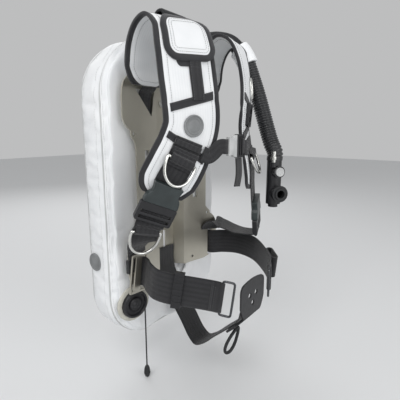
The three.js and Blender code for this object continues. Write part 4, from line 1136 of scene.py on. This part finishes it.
for hand in SIDES:
    ring_loop(f"ring_loop_upper_{hand}", surfaces[hand][0], 32, strap_top, ring_lift, 13)
ring_loop("ring_loop_lower_right", PadSurface(lower_strap["right"]), 5, STRAP["thick"] / 2,
          lower_ring_lift, 11)
for fold, (start, end) in enumerate(((29.4, 30.2), (30.5, 31.1))):
    layer = slab(f"webbing_fold_{fold + 1}", right_surface,
                 (right_surface.distance(start), right_surface.distance(end)), [-24.6, 24.6], (0, 0),
                 lambda d, a: strap_top + 2.0 - fold * 0.4, lambda d, a: strap_top - 0.2,
                 black_webbing, 10, 2.0)
    on_root(layer, "webbing")

tab_at = left_surface.distance(7)
tab = slab("red_tab", left_surface, (tab_at - 3.5, tab_at + 3.5), [12.0, 22.0], (0, 0),
           lambda d, a: left_bottom(d, a) - 0.1, lambda d, a: left_bottom(d, a) - 1.3, red_cloth, 4, 2.0)
on_root(tab, "webbing")


# ---------------------------------------------------------------- webbing in the buckles and frames
def threaded(name, stood, half, low, high, depth):
    """Turn of webbing that fills a buckle's slots, seen between its bars."""
    rings = []
    for i in range(9):
        y = low + (high - low) * i / 8
        z = depth * cos(i / 8 * 4 * pi)
        rings.append([placed(stood, (x, y, z + lift)) for x, lift in (
            (-half, -0.5), (-half + 0.8, -1.1), (half - 0.8, -1.1), (half, -0.5),
            (half, 0.5), (half - 0.8, 1.1), (-half + 0.8, 1.1), (-half, 0.5))])
    on_root(sweep(name, rings, black_webbing), "webbing")


FRAME_BAR = 2.4  # thickness of the waist frames' wire, which the belt ends turn round
TURN_RADIUS = 4.5


for hand in SIDES:
    end = pad_station(hand, STRAP_END[hand])
    stood = at_station(end, PAD["thick"] / 2 + STRAP_GAP + BUCKLE["thick"] / 2, BUCKLE["high"] + GAP)
    threaded(f"webbing_in_buckle_{hand}", stood, STRAP["width"] / 2, -BUCKLE["low"] + 1, -4, 1.4)
    belt_end = belts[hand][-1]
    bar_at = GAP + FRAME_BAR
    loop_section = [(-17, 1.7), (-15, 3.1), (bar_at, TURN_RADIUS)]
    loop_section += [(bar_at + TURN_RADIUS * sin(a), TURN_RADIUS * cos(a))
                     for a in circle_angles(16)[1:8]]
    loop_section += [(bar_at, -TURN_RADIUS), (-15, -3.1), (-17, -1.7)]
    rings = [[belt_end.centre + belt_end.across * a + belt_end.tangent * t + belt_end.out * o * k
              for t, o in loop_section]
             for a, k in ((-25.6, 0.8), (-25, 1), (-12, 1), (0, 1), (12, 1), (25, 1), (25.6, 0.8))]
    on_root(sweep(f"belt_end_loop_{hand}", rings, black_webbing), "webbing")
    reach = 20
    for k, t in enumerate((-12.5, -8.5)):
        line = [belt_end.centre + belt_end.across * (-reach + 2 * reach * i / 12) + belt_end.tangent * t
                + belt_end.out * (3.45 + k * 0.45) for i in range(13)]
        on_root(stitches(f"belt_end_stitching_{hand}_{k + 1}", line, stitch_grey), "webbing")


# ---------------------------------------------------------------- the wing
WING = {"half": 153, "top": 250, "bottom": -315, "inner_half": 46, "inner_top": 197, "inner_bottom": -222,
        "top_radius": 112, "bottom_radius": 96, "inner_radius": 14, "front": -27, "rear": 62}
WING_SECTION = [(0.0, -2.5), (0.1, -14), (0.32, -27), (0.68, -27), (0.88, -21), (1, -13), (1, 16),
                (0.955, 44), (0.78, 58), (0.5, 62), (0.2, 44), (0.03, 16)]


def rounded_outline(half, top, bottom, top_radius, bottom_radius, corner, side, cross):
    """Closed outline with rounded corners, as (x, z) points, in that many steps a corner, side and end."""
    points = []

    def arc(cx, cz, r, start):
        for i in range(corner + 1):
            a = start + i / corner * pi / 2
            points.append((cx + r * cos(a), cz + r * sin(a)))

    arc(half - top_radius, top - top_radius, top_radius, 0)
    x0, x1 = half - top_radius, -half + top_radius
    points.extend((x0 + (x1 - x0) * i / cross, top) for i in range(1, cross))
    arc(-half + top_radius, top - top_radius, top_radius, pi / 2)
    z0, z1 = top - top_radius, bottom + bottom_radius
    points.extend((-half, z0 + (z1 - z0) * i / side) for i in range(1, side))
    arc(-half + bottom_radius, bottom + bottom_radius, bottom_radius, pi)
    x0, x1 = -half + bottom_radius, half - bottom_radius
    points.extend((x0 + (x1 - x0) * i / cross, bottom) for i in range(1, cross))
    arc(half - bottom_radius, bottom + bottom_radius, bottom_radius, pi * 1.5)
    points.extend((half, z1 + (z0 - z1) * i / side) for i in range(1, side))
    return points


def wing_shape():
    """Closed tube of the wing, its section refined on a smooth curve."""
    w = WING
    counts = (14, 56, 12)
    outer = rounded_outline(w["half"], w["top"], w["bottom"], w["top_radius"], w["bottom_radius"], *counts)
    inner = rounded_outline(w["inner_half"], w["inner_top"], w["inner_bottom"], w["inner_radius"],
                            w["inner_radius"], *counts)
    section = smooth_outline([(t, y, 0) for t, y in WING_SECTION], 5)
    rings = []
    for (ox, oz), (ix, iz) in zip(outer, inner):
        share = hypot(ox - ix, oz - iz) / (w["half"] - w["inner_half"])
        puff = min(1.0, 0.35 + 0.65 * share)
        rings.append([Vector((ix + (ox - ix) * p.x, p.y * (1 if p.y < 0 else puff), iz + (oz - iz) * p.x))
                      for p in section])
    return rings


PORT_HOLD = ((dump_at, 42), (ELBOW_PORT, 34), (WING_BADGE, 26))  # where the cloth is held, and how far
SECTION_COUNT = 60  # points round the wing's section
SEAM_COLUMNS = {"front": 25, "rear": 35}
INNER_COLUMNS = (5, 56)  # the inner edge is held before the first of these and after the second
PLATE_HALF = 145
BELLY_CAP = 6.5  # how far the air may push the cloth out
PLATE_CAP = 1.2  # the same where the plate lies in front of it
AIR_FRAMES = 20
AIR_CLOTH = {"quality": 6, "mass": 0.25, "tension_stiffness": 12, "compression_stiffness": 12,
             "shear_stiffness": 4, "bending_stiffness": 0.08, "use_pressure": True,
             "uniform_pressure_force": 4, "vertex_group_mass": "held", "shrink_min": -0.035}


def inflate(cover, rest):
    """Cloth simulation with air inside; the seams, the valve ports and the inner edge are held."""
    held = cover.vertex_groups.new(name="held")
    for i, point in enumerate(rest):
        column = i % SECTION_COUNT
        near_port = any((point - at).length < reach for at, reach in PORT_HOLD)
        inner_edge = not INNER_COLUMNS[0] <= column <= INNER_COLUMNS[1]
        if near_port or inner_edge or column in SEAM_COLUMNS.values():
            held.add([i], 1.0, "REPLACE")
    cloth = cover.modifiers.new("air", "CLOTH")
    for setting, value in AIR_CLOTH.items():
        setattr(cloth.settings, setting, value)
    cloth.settings.effector_weights.gravity = 0
    cloth.point_cache.frame_start = 1
    cloth.point_cache.frame_end = AIR_FRAMES
    for step in range(1, AIR_FRAMES + 1):
        scene.frame_set(step)
    done = cover.evaluated_get(bpy.context.evaluated_depsgraph_get())
    moved = [v.co / MM for v in done.data.vertices]
    cover.modifiers.remove(cloth)
    scene.frame_set(1)
    for vertex, start, end in zip(cover.data.vertices, rest, moved):
        step = end - start
        if step.length > BELLY_CAP:
            step *= BELLY_CAP / step.length
        if abs(start.x) < PLATE_HALF and start.y < 0:
            step.y = max(step.y, -PLATE_CAP)
        vertex.co = (start + step) * MM


def seam_line(name, column, radius):
    """Piping along one of the wing's outer seams, in light grey that is painted shade of the seam line."""
    points = [wing_columns[i * SECTION_COUNT + column] for i in range(len(wing_rings))]
    rings = closed_tube(points, Vector((0, 1, 0)), radius, 10)
    on_root(sweep(name, rings, thread_and_seam_shade, closed=True), "wing_fabric")


PORT_HOLES = ((dump_at, dump_out, 21), (ELBOW_PORT, ELBOW_AXIS, 14))  # place, axis and radius
PORT_DEPTH = 14


def open_ports(cover):
    """Cuts the cloth away under the two valve flanges."""
    shell = bmesh.new()
    shell.from_mesh(cover.data)
    gone = []
    for face in shell.faces:
        for at, axis, radius in PORT_HOLES:
            offset = face.calc_center_median() / MM - at
            height = offset.dot(axis)
            if abs(height) < PORT_DEPTH and (offset - axis * height).length < radius:
                gone.append(face)
                break
    bmesh.ops.delete(shell, geom=gone, context="FACES")
    shell.to_mesh(cover.data)
    shell.free()


wing_rings = wing_shape()
wing = sweep("wing_cover", wing_rings, wing_cloth, closed=True)
inflate(wing, [p for ring in wing_rings for p in ring])
wing_columns = [v.co / MM for v in wing.data.vertices]
open_ports(wing)
soften(wing, 1)
on_root(wing, "wing_fabric", "wing_shell")
WING_HUB_Z = -30  # the stitch rows stand off the cloth, away from this height's middle
for seam, column in SEAM_COLUMNS.items():
    seam_line(f"wing_piping_{seam}", column, 1.3)
    for side_step in (-2, 2):
        line = [wing_columns[i * SECTION_COUNT + column + side_step] for i in range(len(wing_rings))]
        line = [p + Vector((p.x, 0, p.z - WING_HUB_Z)).normalized() * 0.3 for p in line]
        name = f"wing_stitching_{seam}_{side_step + 3}"
        on_root(stitches(name, line + line[:1], thread_and_seam_shade, 2.6, 1.6, 0.3), "wing_fabric")

FLOOR = {"half": 6000, "z": -405}
corners = [(x * FLOOR["half"], y * FLOOR["half"], FLOOR["z"])
           for x, y in ((-1, -1), (1, -1), (1, 1), (-1, 1))]
floor = mesh_object("floor", corners, [(0, 1, 2, 3)], floor_paint, smooth=False)
